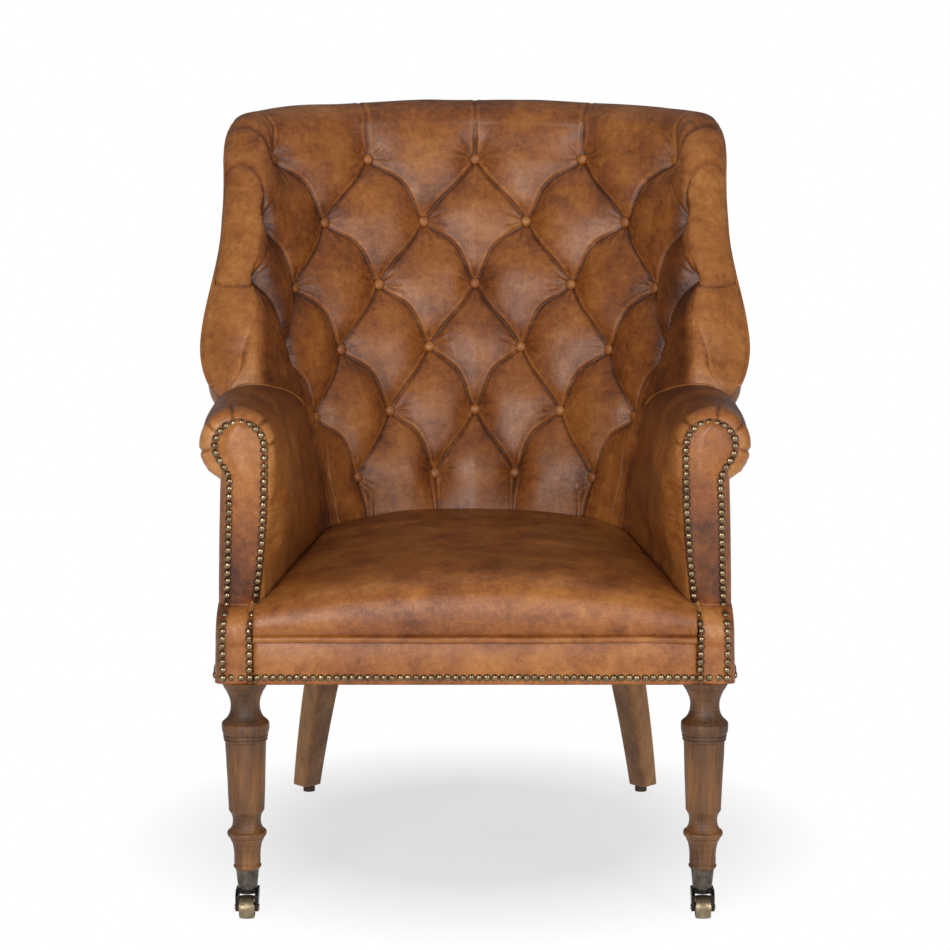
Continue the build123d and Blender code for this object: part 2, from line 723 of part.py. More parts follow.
def rear_glides():
    """Round glides, flat on the floor."""
    foot = rear_leg_axis(glide_height)
    return [Pos(side * foot.X, foot.Y, 0) * Cylinder(
        glide_radius, glide_height, align=(Align.CENTER, Align.CENTER, Align.MIN)) for side in (-1, 1)]


def seat_stations(inset):
    """Stations of the seat from front to back: y, half width, height at the side and at the crown."""
    width = arm_seat_x - 2 * lay
    front = frame_front - seat_overhang
    rise = seat_crest - inset
    sections = []
    for back, side, crown in nose_sections:
        sections.append((front + inset + back, width - inset, rise - side, rise - crown))
    for y, side, crown in middle_sections:
        sections.append((y, width - arm_seat_taper * y - inset, rise - side, rise - crown))
    for k, side, crown in back_sections:
        corner = barrel(k, tuck_height, -2 * lay - inset)
        sections.append((corner.Y, corner.X, rise - side, rise - crown))
    return sections


def seat_form(inset, low):
    """Crowned seat with sides drawn in below the crown."""
    wires = []
    for y, half, side, crown in seat_stations(inset):
        wires.append(outline(
            lambda x, z, y=y: Vector(x, y, z), (-half + side_draw, low),
            [(half - side_draw, low)],
            [(half, (low + side) / 2), (half - side_turn, side)],
            [(0, crown), (-half + side_turn, side)],
            [(-half, (low + side) / 2), (-half + side_draw, low)]))
    return swept(wires)


def seat_cover():
    """Leather of the seat, open below."""
    return seat_form(0.0, seat_bottom) - seat_form(seat_leather, seat_bottom - 1.0)


def seat_foam():
    return seat_form(seat_leather + lay, seat_bottom)


def seat_webbing():
    """Straps from the front rail to the back rail, and straps across them on the side rails."""
    low = rail_top + lay
    back = barrel(0, rail_top, wall(0, rail_top) - leather - rail_thickness).Y + webbing_lap
    front = frame_front + border_thickness + webbing_lap
    straps = []
    leg = rear_leg_axis(frame_height).X - rear_leg_top_size * sqrt(0.5)
    last = leg - webbing_width / 2 - webbing_gap
    for x in (-last, -last / 2, 0.0, last / 2, last):
        reach = back - x ** 2 / back_radius
        straps.append(Pos(x, front, low) * Box(
            webbing_width, reach - front, webbing_thickness, align=(Align.CENTER, Align.MIN, Align.MIN)))
    for i in range(cross_straps):
        y = webbing_start + i * webbing_pitch
        half = side_rail_line(y) - rail_thickness / 2
        straps.append(Pos(0, y, low + webbing_thickness + lay) * Box(
            2 * half, webbing_width, webbing_thickness, align=(Align.CENTER, Align.CENTER, Align.MIN)))
    return straps


def arm_panel_corners(z):
    """Outside of the arm's outer panel at height z: beside the post, behind it, and at the back."""
    lean = (z - frame_height) / (scroll_z - frame_height)
    x = front_leg_x + post_width / 2 + leather + 2 * lay + arm_lean * (1 - lean)
    k = wing_column + lay / column_pitch
    front = Vector(x, frame_front, z)
    behind = Vector(x, frame_front + border_thickness + post_depth + 2 * lay, z)
    return front, behind, barrel(k, z, wall(k, z))


def side_rail_line(y):
    """Outside of the side rail at y."""
    front, behind, rear = arm_panel_corners(rail_top)
    return behind.X + (rear.X - behind.X) * (y - behind.Y) / (rear.Y - behind.Y) - leather - 3 * lay


def side_rail():
    """Board from the front post to the rear leg."""
    front = frame_front + border_thickness + post_depth + 2 * lay
    rear = rear_leg_axis(frame_height).Y - rear_leg_top_size * sqrt(0.5) - side_rail_gap
    x0 = side_rail_line(front)
    x1 = side_rail_line(rear)
    points = [(x0, front), (x1, rear), (x1 - rail_thickness, rear), (x0 - rail_thickness, front)]
    return prism(points, frame_height, rail_top)


def corner_blocks():
    """Glued triangles behind the front rail."""
    inner = front_leg_x - post_width / 2 - lay
    front = frame_front + border_thickness + rail_thickness + 2 * lay
    rear = frame_front + border_thickness + post_depth
    right = prism([(inner, front), (inner, rear), (inner - block_leg, front)],
                  frame_height + block_lift, rail_top)
    return [mirror(right, about=Plane.YZ), right]


def outside_arm():
    """Leather panel under the scroll, from the facing past the post and round to the back."""
    tops = (scroll_z - panel_tuck, scroll_z - panel_tuck, scroll_z - panel_tuck_rear)
    out_x, out_y = plan(wing_column + lay / column_pitch)[2]
    inward = (Vector(-leather, 0, 0), Vector(-leather, 0, 0), Vector(-leather * out_x, -leather * out_y, 0))
    wires = []
    for end in range(3):
        outer = [arm_panel_corners(z)[end] for z in (frame_height, seat_crest, tops[end])]
        points = outer + [p + inward[end] for p in reversed(outer)]
        wires.append(Wire.make_polygon(points))
    return swept(wires) & face_slab(facing_thickness + lay, seat_depth)


def outside_back():
    """Leather of the back, from the seat frame to the edge of the top roll."""
    end = wing_column - lay / column_pitch
    return layer(-end, end, lambda k: frame_height, lambda k: edge_height(k) - roll_drop - lay,
                 lambda k, z: wall(k, z) - leather, wall)


def outside_wing():
    """Leather of the wing's outside, cut to sit on the arm."""
    start = wing_column + lay / column_pitch
    panel = layer(start, wing_nose - 0.1, lambda k: wing_base, lambda k: edge_height(k) - roll_drop - lay,
                  lambda k, z: wall(k) - leather, lambda k, z: wall(k))
    return panel - arm_space()


def wing_frame():
    """Wooden board in the wing."""
    start = wing_column + 2 * lay / column_pitch
    board = layer(start, wing_nose - board_end, lambda k: wing_base,
                  lambda k: edge_height(k) - roll_drop - lay,
                  lambda k, z: pad_thickness + lay, lambda k, z: wall(k) - leather - lay)
    return board - arm_space()


def frame_far(k, z):
    return wall(k, z) - leather - lay


def frame_near(k, z):
    return frame_far(k, z) - frame_thickness


def top_rail():
    """Curved rail under the top roll."""
    end = wing_column - 2 * lay / column_pitch
    return layer(-end, end, lambda k: edge_height(k) - roll_drop - lay - top_rail_height,
                 lambda k: edge_height(k) - roll_drop - lay, frame_near, frame_far)


def back_post():
    """Upright from the top of the rear leg to the top rail."""
    k0 = rear_leg_column - back_post_half
    k1 = rear_leg_column + back_post_half
    return layer(k0, k1, lambda k: rear_leg_top + lay,
                 lambda k: edge_height(k1) - roll_drop - 2 * lay - top_rail_height, frame_near, frame_far)


def back_rail():
    """Curved rail of the seat frame between the rear legs."""
    end = rear_leg_column - rear_leg_half
    return layer(-end, end, lambda k: frame_height, lambda k: rail_top,
                 lambda k, z: frame_far(k, z) - rail_thickness, frame_far)


def back_foam():
    """Even stuffing behind the buttoned pad."""
    end = wing_column - foam_inset
    return layer(-end, end, lambda k: tuck_height, lambda k: edge_height(k) - roll_drop - 3 * lay,
                 lambda k, z: pad_thickness + lay,
                 lambda k, z: frame_near(k, max(z, seat_crest)) - webbing_thickness - 2 * lay)


def back_webbing():
    """Upright straps on the front of the back frame."""
    straps = []
    for i in range(-2, 3):
        k = i * back_strap_pitch
        straps.append(layer(
            k - back_strap_half, k + back_strap_half, lambda k: tuck_height,
            lambda k: edge_height(k) - roll_drop - lay - back_strap_drop,
            lambda k, z: frame_near(k, max(z, seat_crest)) - webbing_thickness - lay,
            lambda k, z: frame_near(k, max(z, seat_crest)) - lay))
    return straps


def back_buttons():
    """Eight-sided covered buttons, pulled into the folds where they meet."""
    buttons = []
    for row in range(6):
        for column in range(-5, 6):
            height = first_row - row * row_pitch
            held = abs(column) <= 4 or row % 2 == 1
            if (column + row) % 2 or not held or height < tuck_height:
                continue
            if abs(column) == 5 and row == 5:
                continue
            buttons.append(button(column, height))
    return buttons


def button(k, z):
    """Covered button on the face of the pad at column k and height z."""
    face = button_pull - button_seat
    out = plan(k)[2]
    plane = Plane(barrel(k, z, face), x_dir=(0, 0, 1), z_dir=(-out[0], -out[1], 0))
    rings = ((0.0, 0.8), (1.6, 1.0), (3.8, 0.72), (button_height, 0.3))
    wires = [plane * (Pos(0, 0, h) * Wire.make_polygon(
        [(button_radius * r * cos(i * pi / 4), button_radius * r * sin(i * pi / 4)) for i in range(8)]))
        for h, r in rings]
    return swept(wires)


def nail(point, out):
    """Six-sided nail head that lies on a face with this outward direction."""
    plane = Plane(point + out * nail_gap, x_dir=(out.Y, -out.X, 0), z_dir=out)
    rings = ((0.0, 1.0), (nail_height * 0.55, 0.82), (nail_height, 0.36))
    wires = [plane * (Pos(0, 0, h) * Wire.make_polygon(
        [(nail_radius * r * cos(i * pi / 3), nail_radius * r * sin(i * pi / 3)) for i in range(6)]))
        for h, r in rings]
    return swept(wires)


def arc_depth(z, start, middle, end):
    """y at height z of the arc through three points in y and z."""
    (y0, z0), (y1, z1), (y2, z2) = start, middle, end
    a, b = y1 - y0, z1 - z0
    c, d = y2 - y0, z2 - z0
    e = (a * (y0 + y1) + b * (z0 + z1)) / 2
    f = (c * (y0 + y2) + d * (z0 + z2)) / 2
    centre_y = (d * e - b * f) / (a * d - b * c)
    centre_z = (a * f - c * e) / (a * d - b * c)
    radius = sqrt((y0 - centre_y) ** 2 + (z0 - centre_z) ** 2)
    side = 1 if y1 > centre_y else -1
    return centre_y + side * sqrt(max(0.0, radius ** 2 - (z - centre_z) ** 2))


def facing_depth(z):
    """y of the facing's front at height z."""
    (neck,), (bow, waist), (swell, shoulder), _ = facing_curve()
    if z >= neck[1]:
        return scroll_face
    if z >= waist[1]:
        return arc_depth(z, neck, bow, waist)
    if z >= shoulder[1]:
        return arc_depth(z, waist, swell, shoulder)
    return frame_front


def arm_nails():
    """Nails round the right arm's facing, up one side, over the arch and down the other."""
    start, *steps = facing_outline(0.0)
    path = outline(lambda x, z: Vector(x, 0, z), start, *steps)
    length = path.length - Edge.make_line(path.edges()[-1] @ 0, path.edges()[-1] @ 1).length
    count = floor(length / nail_pitch)
    half = nail_radius * sin(pi / 3)
    heads = []
    for i in range(1, count):
        point = path @ (i * nail_pitch / path.length)
        slope = (facing_depth(point.Z + half) - facing_depth(point.Z - half)) / (2 * half)
        depth = min(facing_depth(point.Z + half * i / 4) - slope * half * i / 4 for i in range(-4, 5))
        heads.append(nail(Vector(point.X, depth, point.Z), Vector(0, -1, slope).normalized()))
    return heads


def rail_nails():
    """The row along the bottom edge of the front border."""
    reach = front_leg_x - facing_inset - nail_pitch
    count = floor(2 * reach / nail_pitch)
    z = frame_height + nail_lift
    return [nail(Vector((i - count / 2) * nail_pitch, frame_front, z), Vector(0, -1, 0))
            for i in range(count + 1)]


def front_rail():
    """Board behind the border."""
    half = front_leg_x - post_width / 2 - lay
    return Pos(0, frame_front + border_thickness + lay, frame_height) * Box(
        2 * half, rail_thickness, rail_height, align=(Align.CENTER, Align.MIN, Align.MIN))


def front_border():
    """Leather strip between the facings, below the piping."""
    half = front_leg_x - facing_inset - facing_edge - lay
    return Pos(0, frame_front, frame_height) * Box(
        2 * half, border_thickness, rail_height, align=(Align.CENTER, Align.MIN, Align.MIN))


def seat_piping():
    """Cord between the seat and the border."""
    half = front_leg_x - facing_inset - facing_edge - lay
    y = frame_front - piping_radius - lay
    return Pos(0, y, seat_bottom - piping_radius - lay) * Rot(0, 90, 0) * Cylinder(piping_radius, 2 * half)


def dust_cover():
    """Cloth under the frame, clear of the legs."""
    inner = front_leg_x - post_width / 2 - cloth_inset
    front = frame_front + border_thickness + cloth_front
    leg = rear_leg_axis(frame_height)
    tip = rear_leg_top_size * sqrt(0.5)
    right = [(inner, front), (inner, front + post_depth),
             (leg.X - cloth_leg_inset, leg.Y - tip - cloth_leg),
             (leg.X - tip - cloth_leg_side, leg.Y + cloth_leg_back)]
    left = [(-x, y) for x, y in reversed(right)]
    return prism(right + left, frame_height - cloth_thickness - lay, frame_height - lay)


def place_all(shift):
    """Every node by name, moved so that the origin is under the middle of the chair."""
    paired = {
        "inside_wing": inside_wing(), "wing_frame": wing_frame(), "outside_wing": outside_wing(),
        "outside_arm": outside_arm(), "arm_pad": arm_pad(), "arm_rail": arm_rail(),
        "arm_post": arm_post(), "arm_facing": front_piece(facing_edge, 0.0, facing_thickness),
        "arm_nails": arm_nails(), "side_rail": side_rail(), "back_post": back_post(),
        "front_leg": front_leg(), "rear_leg": rear_leg(), "caster_cup": caster_cup(),
        "caster_fork": caster_fork(), "caster_axle": caster_axle(), "caster_wheel": caster_wheel(),
    }
    single = {
        "inside_back": inside_back(), "back_foam": back_foam(), "back_webbing": back_webbing(),
        "back_buttons": back_buttons(), "outside_back": outside_back(), "top_rail": top_rail(),
        "back_rail": back_rail(), "front_rail": front_rail(), "front_border": front_border(),
        "corner_blocks": corner_blocks(), "seat_webbing": seat_webbing(), "seat_foam": seat_foam(),
        "seat_cover": seat_cover(), "seat_piping": seat_piping(), "dust_cover": dust_cover(),
        "rear_glides": rear_glides(), "rail_nails": rail_nails(),
    }
    nodes = {}
    for name, shape in single.items():
        nodes[name] = solids_of(shape)
    for name, shape in paired.items():
        nodes[f"{name}_right"] = solids_of(shape)
        nodes[f"{name}_left"] = [mirror(s, about=Plane.YZ) for s in solids_of(shape)]
    return {name: [Pos(0, shift, 0) * s for s in solids] for name, solids in nodes.items()}


def solids_of(shape):
    """Separate solids of a shape or of a list of shapes."""
    if isinstance(shape, list):
        return [solid for item in shape for solid in solids_of(item)]
    return list(shape.solids())


foremost = frame_front - seat_overhang
rearmost = barrel(0, back_height - roll_drop, wall(0)).Y
os.makedirs("parts", exist_ok=True)
for node, solids in place_all(-(foremost + rearmost) / 2).items():
    export_step(Compound(solids) if len(solids) > 1 else solids[0], f"parts/{node}.step")
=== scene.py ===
"""Looks of the deep-buttoned barrel wing chair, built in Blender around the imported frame.

Shapes are worked out in millimetres in the part's modelling frame, where y = 0 is the axis of the
front legs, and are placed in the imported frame, in metres, when their meshes are made. The barrel
back has its own coordinates: k tuft columns sideways, z height, n depth outwards from the crowns.
"""
import json
from math import cos, pi, radians, sin, sqrt

import bmesh
import bpy
import numpy as np
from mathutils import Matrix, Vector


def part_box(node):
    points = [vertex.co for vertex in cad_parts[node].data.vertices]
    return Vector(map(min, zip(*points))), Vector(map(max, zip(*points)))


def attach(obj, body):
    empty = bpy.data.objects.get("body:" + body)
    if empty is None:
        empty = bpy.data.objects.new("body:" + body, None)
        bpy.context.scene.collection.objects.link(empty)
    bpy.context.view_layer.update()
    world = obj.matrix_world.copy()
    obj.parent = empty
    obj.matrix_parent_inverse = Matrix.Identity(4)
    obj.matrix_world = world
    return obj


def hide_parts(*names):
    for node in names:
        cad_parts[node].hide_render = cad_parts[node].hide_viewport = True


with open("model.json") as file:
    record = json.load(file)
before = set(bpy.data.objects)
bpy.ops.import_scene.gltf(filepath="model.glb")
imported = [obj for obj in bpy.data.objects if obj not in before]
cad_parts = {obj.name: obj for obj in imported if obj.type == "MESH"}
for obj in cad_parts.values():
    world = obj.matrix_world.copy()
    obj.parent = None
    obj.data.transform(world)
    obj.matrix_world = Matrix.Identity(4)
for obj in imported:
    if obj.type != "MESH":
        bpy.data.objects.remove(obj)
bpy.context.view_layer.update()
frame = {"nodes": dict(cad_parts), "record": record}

# Frame
MM = 0.001
SIDES = ((-1, "left"), (1, "right"))
leg_low, leg_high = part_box("front_leg_right")
leg_x = (leg_low.x + leg_high.x) / 2 / MM
shift_y = (leg_low.y + leg_high.y) / 2

# Stance and seat frame
frame_height = 313.0
rail_height = 52.0
frame_front = -24.0
seat_bottom = 369.1
seat_crest = 463.1
seat_edge = 438.0           # height of the seat along the arms
border_half = leg_x - 13.5  # half the length of the front border
piping_radius = 4.5

# Barrel back
back_height = 1060.0
seat_depth = 480.0
back_rake = 0.243
barrel_flare = 0.00069
back_radius = 400.0
back_half_angle = 20.0
corner_radius = 220.0
wing_heading = 66.0
column_pitch = 69.0
row_pitch = 92.0
first_row = 970.0
middle_row = 786.0
crown_drop = 22.0
wing_fall = 137.0
ear_round = 0.5
wing_column = 4.25
wing_end = 6.95
wing_nose = 6.45
nose_round = 0.93           # how far a wing is rounded off from its nose to its end, 1 for a full round
tuck_height = 430.0
pad_thickness = 42.0
roll_lip = 4.0
roll_drop = 22.0
wall_back = 91.0
wall_wing = 63.0
ear_flare = 26.0

# Arms
arm_height = 662.0
scroll_z = 616.0
scroll_x = 301.0
scroll_radius = 46.0
arm_seat_x = 272.0
arm_seat_taper = 0.148
arm_seat_line = 450.1
arm_base = 380.0
roll_under = -100.0
scroll_face = -14.0
waist_face = 6.0
waist_height = 410.0
face_neck = scroll_z - 16.0
face_shoulder = waist_height - 48.0


def smooth(value, start, end):
    """0 before start, 1 after end, and an even slope between."""
    t = np.clip((value - start) / (end - start), 0.0, 1.0)
    return t * t * (3 - 2 * t)


def bell(value, width):
    """1 where the value is 0, falling off on both sides."""
    return np.exp(-(value / width) ** 2)


def noise(u, v, seed):
    """Smooth random field of two coordinates, from -1 to 1, with features about one unit wide."""
    size = 128
    table = np.random.default_rng(seed).uniform(-1, 1, (size, size))
    iu = np.floor(u).astype(int)
    iv = np.floor(v).astype(int)
    fu = smooth(u - iu, 0.0, 1.0)
    fv = smooth(v - iv, 0.0, 1.0)
    iu, ju = iu % size, (iu + 1) % size
    iv, jv = iv % size, (iv + 1) % size
    low = table[iu, iv] * (1 - fu) + table[ju, iv] * fu
    high = table[iu, jv] * (1 - fu) + table[ju, jv] * fu
    return low * (1 - fv) + high * fv


def xyz(x, y, z):
    """Points from three coordinates, each a number or an array."""
    return np.stack(np.broadcast_arrays(x, y, z), -1)


def even_out(line, rounds):
    """Smooths the inner points of a line in place."""
    for _ in range(rounds):
        line[1:-1] = (line[:-2] + 2 * line[1:-1] + line[2:]) / 4


def plan(k):
    """Point and outward direction on the barrel's plan, k columns from the middle of the back."""
    run = np.abs(k) * column_pitch
    side = np.where(k >= 0, 1.0, -1.0)
    turn0 = radians(back_half_angle)
    turn1 = radians(wing_heading)
    back_run = back_radius * turn0
    in_back = run < back_run
    corner = np.minimum(turn1, turn0 + (run - back_run) / corner_radius)
    angle = np.where(in_back, run / back_radius, corner)
    rest = np.maximum(0.0, run - back_run - corner_radius * (turn1 - turn0))
    radius = np.where(in_back, back_radius, corner_radius)
    offset = np.where(in_back, 0.0, back_radius - corner_radius)
    x = radius * np.sin(angle) + offset * sin(turn0) + rest * cos(turn1)
    y = -radius * (1 - np.cos(angle)) - offset * (1 - cos(turn0)) - rest * sin(turn1)
    return side * x, y, side * np.sin(angle), np.cos(angle)


def barrel(k, z, n):
    """Points of the upholstered back at columns k, heights z and depths n."""
    x, y, out_x, out_y = plan(k)
    spread = 1 + barrel_flare * (z - middle_row)
    lean = seat_depth + back_rake * (z - seat_crest)
    return xyz(x * spread + n * out_x, lean + y * spread + n * out_y, z)


def wall(k, z=back_height):
    """Depth of the outside leather."""
    k = np.abs(k)
    thin = (wall_back - wall_wing) * smooth(k, 3.4, 5.1)
    flare = ear_flare * smooth(k, 5.3, 6.5)
    return wall_back - thin + flare + back_rake * np.maximum(0.0, seat_crest - z)


def nose(k):
    """Share of a wing's thickness that is left where its front edge is rounded off."""
    turn = np.clip((np.abs(k) - wing_nose) / (wing_end - wing_nose), 0.0, 1.0)
    return np.sqrt(1 - nose_round * turn ** 2)


def edge_height(k):
    """Height of the top line, which bends down along the front edge of the wings."""
    k = np.abs(k)
    crown = back_height - crown_drop * np.minimum(1.0, k / wing_column) ** 2
    past = np.maximum(0.0, k - wing_column + ear_round / 2)
    bend = np.where(past < ear_round, past ** 2 / (2 * ear_round), past - ear_round / 2)
    return crown - wing_fall * bend


def add_object(name, data):
    """Object with this data, put into the scene."""
    obj = bpy.data.objects.new(name, data)
    bpy.context.scene.collection.objects.link(obj)
    return obj


def mesh_object(name, points, faces, **values):
    """Smooth-shaded object from points in millimetres; a value is one number or one per point."""
    mesh = bpy.data.meshes.new(name)
    placed = np.asarray(points, float) * MM
    placed[:, 1] += shift_y
    sizes = [len(f) for f in faces]
    mesh.vertices.add(len(placed))
    mesh.vertices.foreach_set("co", placed.astype(np.float32).ravel())
    mesh.loops.add(sum(sizes))
    mesh.loops.foreach_set("vertex_index", np.concatenate([np.asarray(f, np.int32) for f in faces]))
    mesh.polygons.add(len(faces))
    mesh.polygons.foreach_set("loop_start", np.cumsum([0, *sizes[:-1]], dtype=np.int32))
    mesh.update(calc_edges=True)
    mesh.validate()
    mesh.shade_smooth()
    for key, value in values.items():
        each = np.full(len(placed), np.ravel(value), np.float32)
        mesh.attributes.new(key, "FLOAT", "POINT").data.foreach_set("value", each)
    return add_object(name, mesh)


def grid_faces(rows, columns, loop):
    """Quads of a grid of points; with loop, the last column joins the first."""
    index = np.arange(rows * columns).reshape(rows, columns)
    if loop:
        index = np.concatenate([index, index[:, :1]], 1)
    quads = np.stack([index[:-1, :-1], index[:-1, 1:], index[1:, 1:], index[1:, :-1]], -1)
    return quads.reshape(-1, 4)


def tube_grid(name, grid, **values):
    """Closed object from a grid whose rows are loops; both ends are capped and all faces look outwards.

    A value is one number or a grid, which counts as 0 in the last columns where it is narrower.
    """
    rows, columns = grid.shape[:2]
    points = np.concatenate([grid.reshape(-1, 3), grid[[0, -1]].mean(1)])
    for key, value in values.items():
        if np.ndim(value):
            value = np.pad(value, ((0, 0), (0, columns - value.shape[1])))
            values[key] = np.append(value.ravel(), value[[0, -1]].mean(1))
    quads = grid_faces(rows, columns, True)
    first = np.arange(columns)
    last = first + (rows - 1) * columns
    centre = np.full(columns, rows * columns)
    ends = np.concatenate([np.stack([np.roll(first, -1), first, centre], -1),
                           np.stack([last, np.roll(last, -1), centre + 1], -1)])
    corners = np.concatenate([quads[:, :3], quads[:, [0, 2, 3]], ends])
    a, b, c = np.moveaxis((points - points.mean(0))[corners], 1, 0)
    if (a * np.cross(b, c)).sum() < 0:
        quads, ends = quads[:, ::-1], ends[:, ::-1]
    return mesh_object(name, points, list(quads) + list(ends), **values)


# Materials
class Shader:
    """Small helper that adds nodes to one material and joins them."""

    def __init__(self, name):
        self.material = bpy.data.materials.new(name)
        self.material.use_nodes = True
        self.tree = self.material.node_tree
        self.surface = self.tree.nodes["Principled BSDF"]
        self.place = self.add("TexCoord", "Object", {})

    def fill(self, node, inputs):
        """Sets sockets of a node; a value is a number, a colour or another node's output."""
        for key, value in inputs.items():
            if isinstance(value, bpy.types.NodeSocket):
                self.tree.links.new(value, node.inputs[key])
            else:
                node.inputs[key].default_value = value

    def add(self, kind, output, inputs, **settings):
        """Adds a node and gives back one of its outputs."""
        node = self.tree.nodes.new("ShaderNode" + kind)
        for key, value in settings.items():
            setattr(node, key, value)
        self.fill(node, inputs)
        return node.outputs[output]

    def stretch(self, scale):
        """Object coordinates scaled by three factors."""
        return self.add("Mapping", "Vector", {"Vector": self.place, "Scale": scale})

    def noise(self, scale, detail=3.0, rough=0.5, place=None):
        return self.add("TexNoise", "Fac", {
            "Vector": place or self.place, "Scale": scale, "Detail": detail, "Roughness": rough})

    def attribute(self, name):
        return self.add("Attribute", "Fac", {}, attribute_name=name)

    def math(self, operation, a, b):
        return self.add("Math", 0, {0: a, 1: b}, operation=operation)

    def total(self, *parts):
        """Sum of values, each times its share."""
        shares = [self.math("MULTIPLY", value, share) for value, share in parts]
        result = shares[0]
        for share in shares[1:]:
            result = self.math("ADD", result, share)
        return result

    def spread(self, value, low, high, to_low, to_high):
        return self.add("MapRange", "Result", {
            "Value": value, "From Min": low, "From Max": high, "To Min": to_low, "To Max": to_high})

    def ramp(self, value, stops):
        node = self.tree.nodes.new("ShaderNodeValToRGB")
        self.fill(node, {"Fac": value})
        elements = node.color_ramp.elements
        while len(elements) < len(stops):
            elements.new(0.5)
        for element, (place, colour) in zip(elements, stops):
            element.position = place
            element.color = (*colour, 1.0)
        return node.outputs["Color"]

    def bump(self, height, distance, strength, **below):
        return self.add("Bump", "Normal", {
            "Strength": strength, "Distance": distance, "Height": height, **below})

    def set(self, **values):
        """Sets sockets of the surface and gives back the material."""
        self.fill(self.surface, {key.replace("_", " "): value for key, value in values.items()})
        return self.material


def make_leather():
    s = Shader("cognac_leather")
    broad = s.noise(5.5, 4.0, 0.6)
    cloud = s.noise(21.0, 6.0, 0.68)
    fleck = s.noise(120.0, 5.0, 0.65)
    streak = s.noise(9.0, 6.0, 0.7, s.stretch((1.0, 1.0, 4.5)))
    speck = s.math("SUBTRACT", s.noise(430.0, 4.0, 0.7), 0.5)
    # Per-point attributes: one darkens for patina and painted shade in creases, hollows and sheltered parts,
    # the other lightens for wear and for painted highlights.
    tone = s.total((broad, 0.46), (cloud, 0.80), (fleck, 0.44), (streak, 0.30), (speck, 0.30),
                   (s.attribute("wear"), 0.20), (s.attribute("fold"), -0.26))
    colour = s.ramp(s.spread(tone, 0.74, 1.50, 0.0, 1.0), (
        (0.0, (0.055, 0.014, 0.003)), (0.28, (0.145, 0.040, 0.008)), (0.52, (0.245, 0.078, 0.015)),
        (0.76, (0.340, 0.128, 0.029)), (1.0, (0.46, 0.212, 0.068))))
    creases = s.noise(170.0, 7.0, 0.75)
    grain = s.add("TexVoronoi", "Distance", {"Vector": s.place, "Scale": 560.0}, feature="F1")
    pores = s.noise(1500.0, 2.0)
    skin = s.bump(creases, 0.0014, 0.30)
    skin = s.bump(grain, 0.0006, 0.32, Normal=skin)
    skin = s.bump(pores, 0.0002, 0.25, Normal=skin)
    gloss = s.spread(s.total((cloud, 1.0), (fleck, 0.5)), 0.5, 1.0, 0.46, 0.32)
    return s.set(Base_Color=colour, Roughness=gloss, Normal=skin, Specular_IOR_Level=0.42)


def make_wood(name, stops, scale=1.0):
    s = Shader(name)
    rings = s.noise(3.0, 6.0, 0.65, s.stretch((14.0 * scale, 14.0 * scale, 1.6 * scale)))
    fibre = s.noise(4.0, 5.0, 0.7, s.stretch((90.0 * scale, 90.0 * scale, 5.0 * scale)))
    blotch = s.noise(16.0, 3.0)
    # On the legs the per-point attribute is painted shade: darker in the grooves, under the frame and on the
    # sides turned towards the chair's middle.
    tone = s.total((rings, 0.55), (fibre, 0.35), (blotch, 0.25), (s.attribute("fold"), -0.25))
    colour = s.ramp(s.spread(tone, 0.38, 0.78, 0.0, 1.0), stops)
    gloss = s.spread(rings, 0.3, 0.7, 0.62, 0.46)
    return s.set(Base_Color=colour, Roughness=gloss, Normal=s.bump(fibre, 0.0006, 0.45))


def make_metal(name, dark, light, rough):
    s = Shader(name)
    patch = s.noise(120.0, 5.0, 0.65)
    fine = s.noise(900.0, 3.0)
    tone = s.total((patch, 0.7), (fine, 0.3))
    colour = s.ramp(s.spread(tone, 0.35, 0.65, 0.0, 1.0), ((0.0, dark), (1.0, light)))
    gloss = s.spread(patch, 0.3, 0.7, rough + 0.14, rough - 0.06)
    return s.set(Base_Color=colour, Roughness=gloss, Normal=s.bump(fine, 0.0002, 0.3), Metallic=1.0)


def make_cloth(name, dark, light, scale):
    s = Shader(name)
    sockets = {"Vector": s.place, "Scale": scale, "Distortion": 0.6}
    warp, weft = (s.add("TexWave", "Fac", sockets, wave_type="BANDS", bands_direction=axis) for axis in "XY")
    weave = s.math("MULTIPLY", warp, weft)
    colour = s.ramp(s.total((weave, 0.6), (s.noise(60.0), 0.4)), ((0.1, dark), (0.8, light)))
    return s.set(Base_Color=colour, Roughness=0.9, Normal=s.bump(weave, 0.0006, 0.6))


BY_SLOT = {
    "leather": make_leather(),
    "leg_wood": make_wood("weathered_wood", (
        (0.0, (0.040, 0.014, 0.003)), (0.45, (0.135, 0.051, 0.011)), (1.0, (0.31, 0.137, 0.034)))),
    "frame_wood": make_wood("frame_wood", (
        (0.0, (0.24, 0.14, 0.07)), (0.5, (0.36, 0.23, 0.12)), (1.0, (0.48, 0.33, 0.19))), 0.8),
    "nail_brass": make_metal("nail_brass", (0.070, 0.046, 0.024), (0.34, 0.245, 0.14), 0.25),
    "caster_brass": make_metal("caster_brass", (0.11, 0.085, 0.055), (0.38, 0.30, 0.19), 0.40),
    "caster_iron": make_metal("caster_iron", (0.012, 0.010, 0.009), (0.055, 0.045, 0.037), 0.46),
    "foam": make_cloth("foam", (0.55, 0.47, 0.28), (0.78, 0.70, 0.48), 260.0),
    "webbing": make_cloth("webbing", (0.20, 0.14, 0.07), (0.42, 0.32, 0.18), 160.0),
    "dust_cloth": make_cloth("dust_cloth", (0.008, 0.008, 0.008), (0.03, 0.03, 0.03), 300.0),
    "glide_plastic": make_cloth("glide_plastic", (0.03, 0.02, 0.013), (0.06, 0.042, 0.03), 90.0)}
cup_metal = make_metal("cup_metal", (0.048, 0.042, 0.035), (0.165, 0.143, 0.113), 0.42)
for part in frame["record"]["subparts"]:
    node = frame["nodes"][part["node"]]
    node.data.materials.clear()
    cup = part["node"].startswith("caster_cup")
    node.data.materials.append(cup_metal if cup else BY_SLOT[part["material_slot"]])
    node.data.shade_smooth()
    node.data.set_sharp_from_angle(angle=radians(32.0))


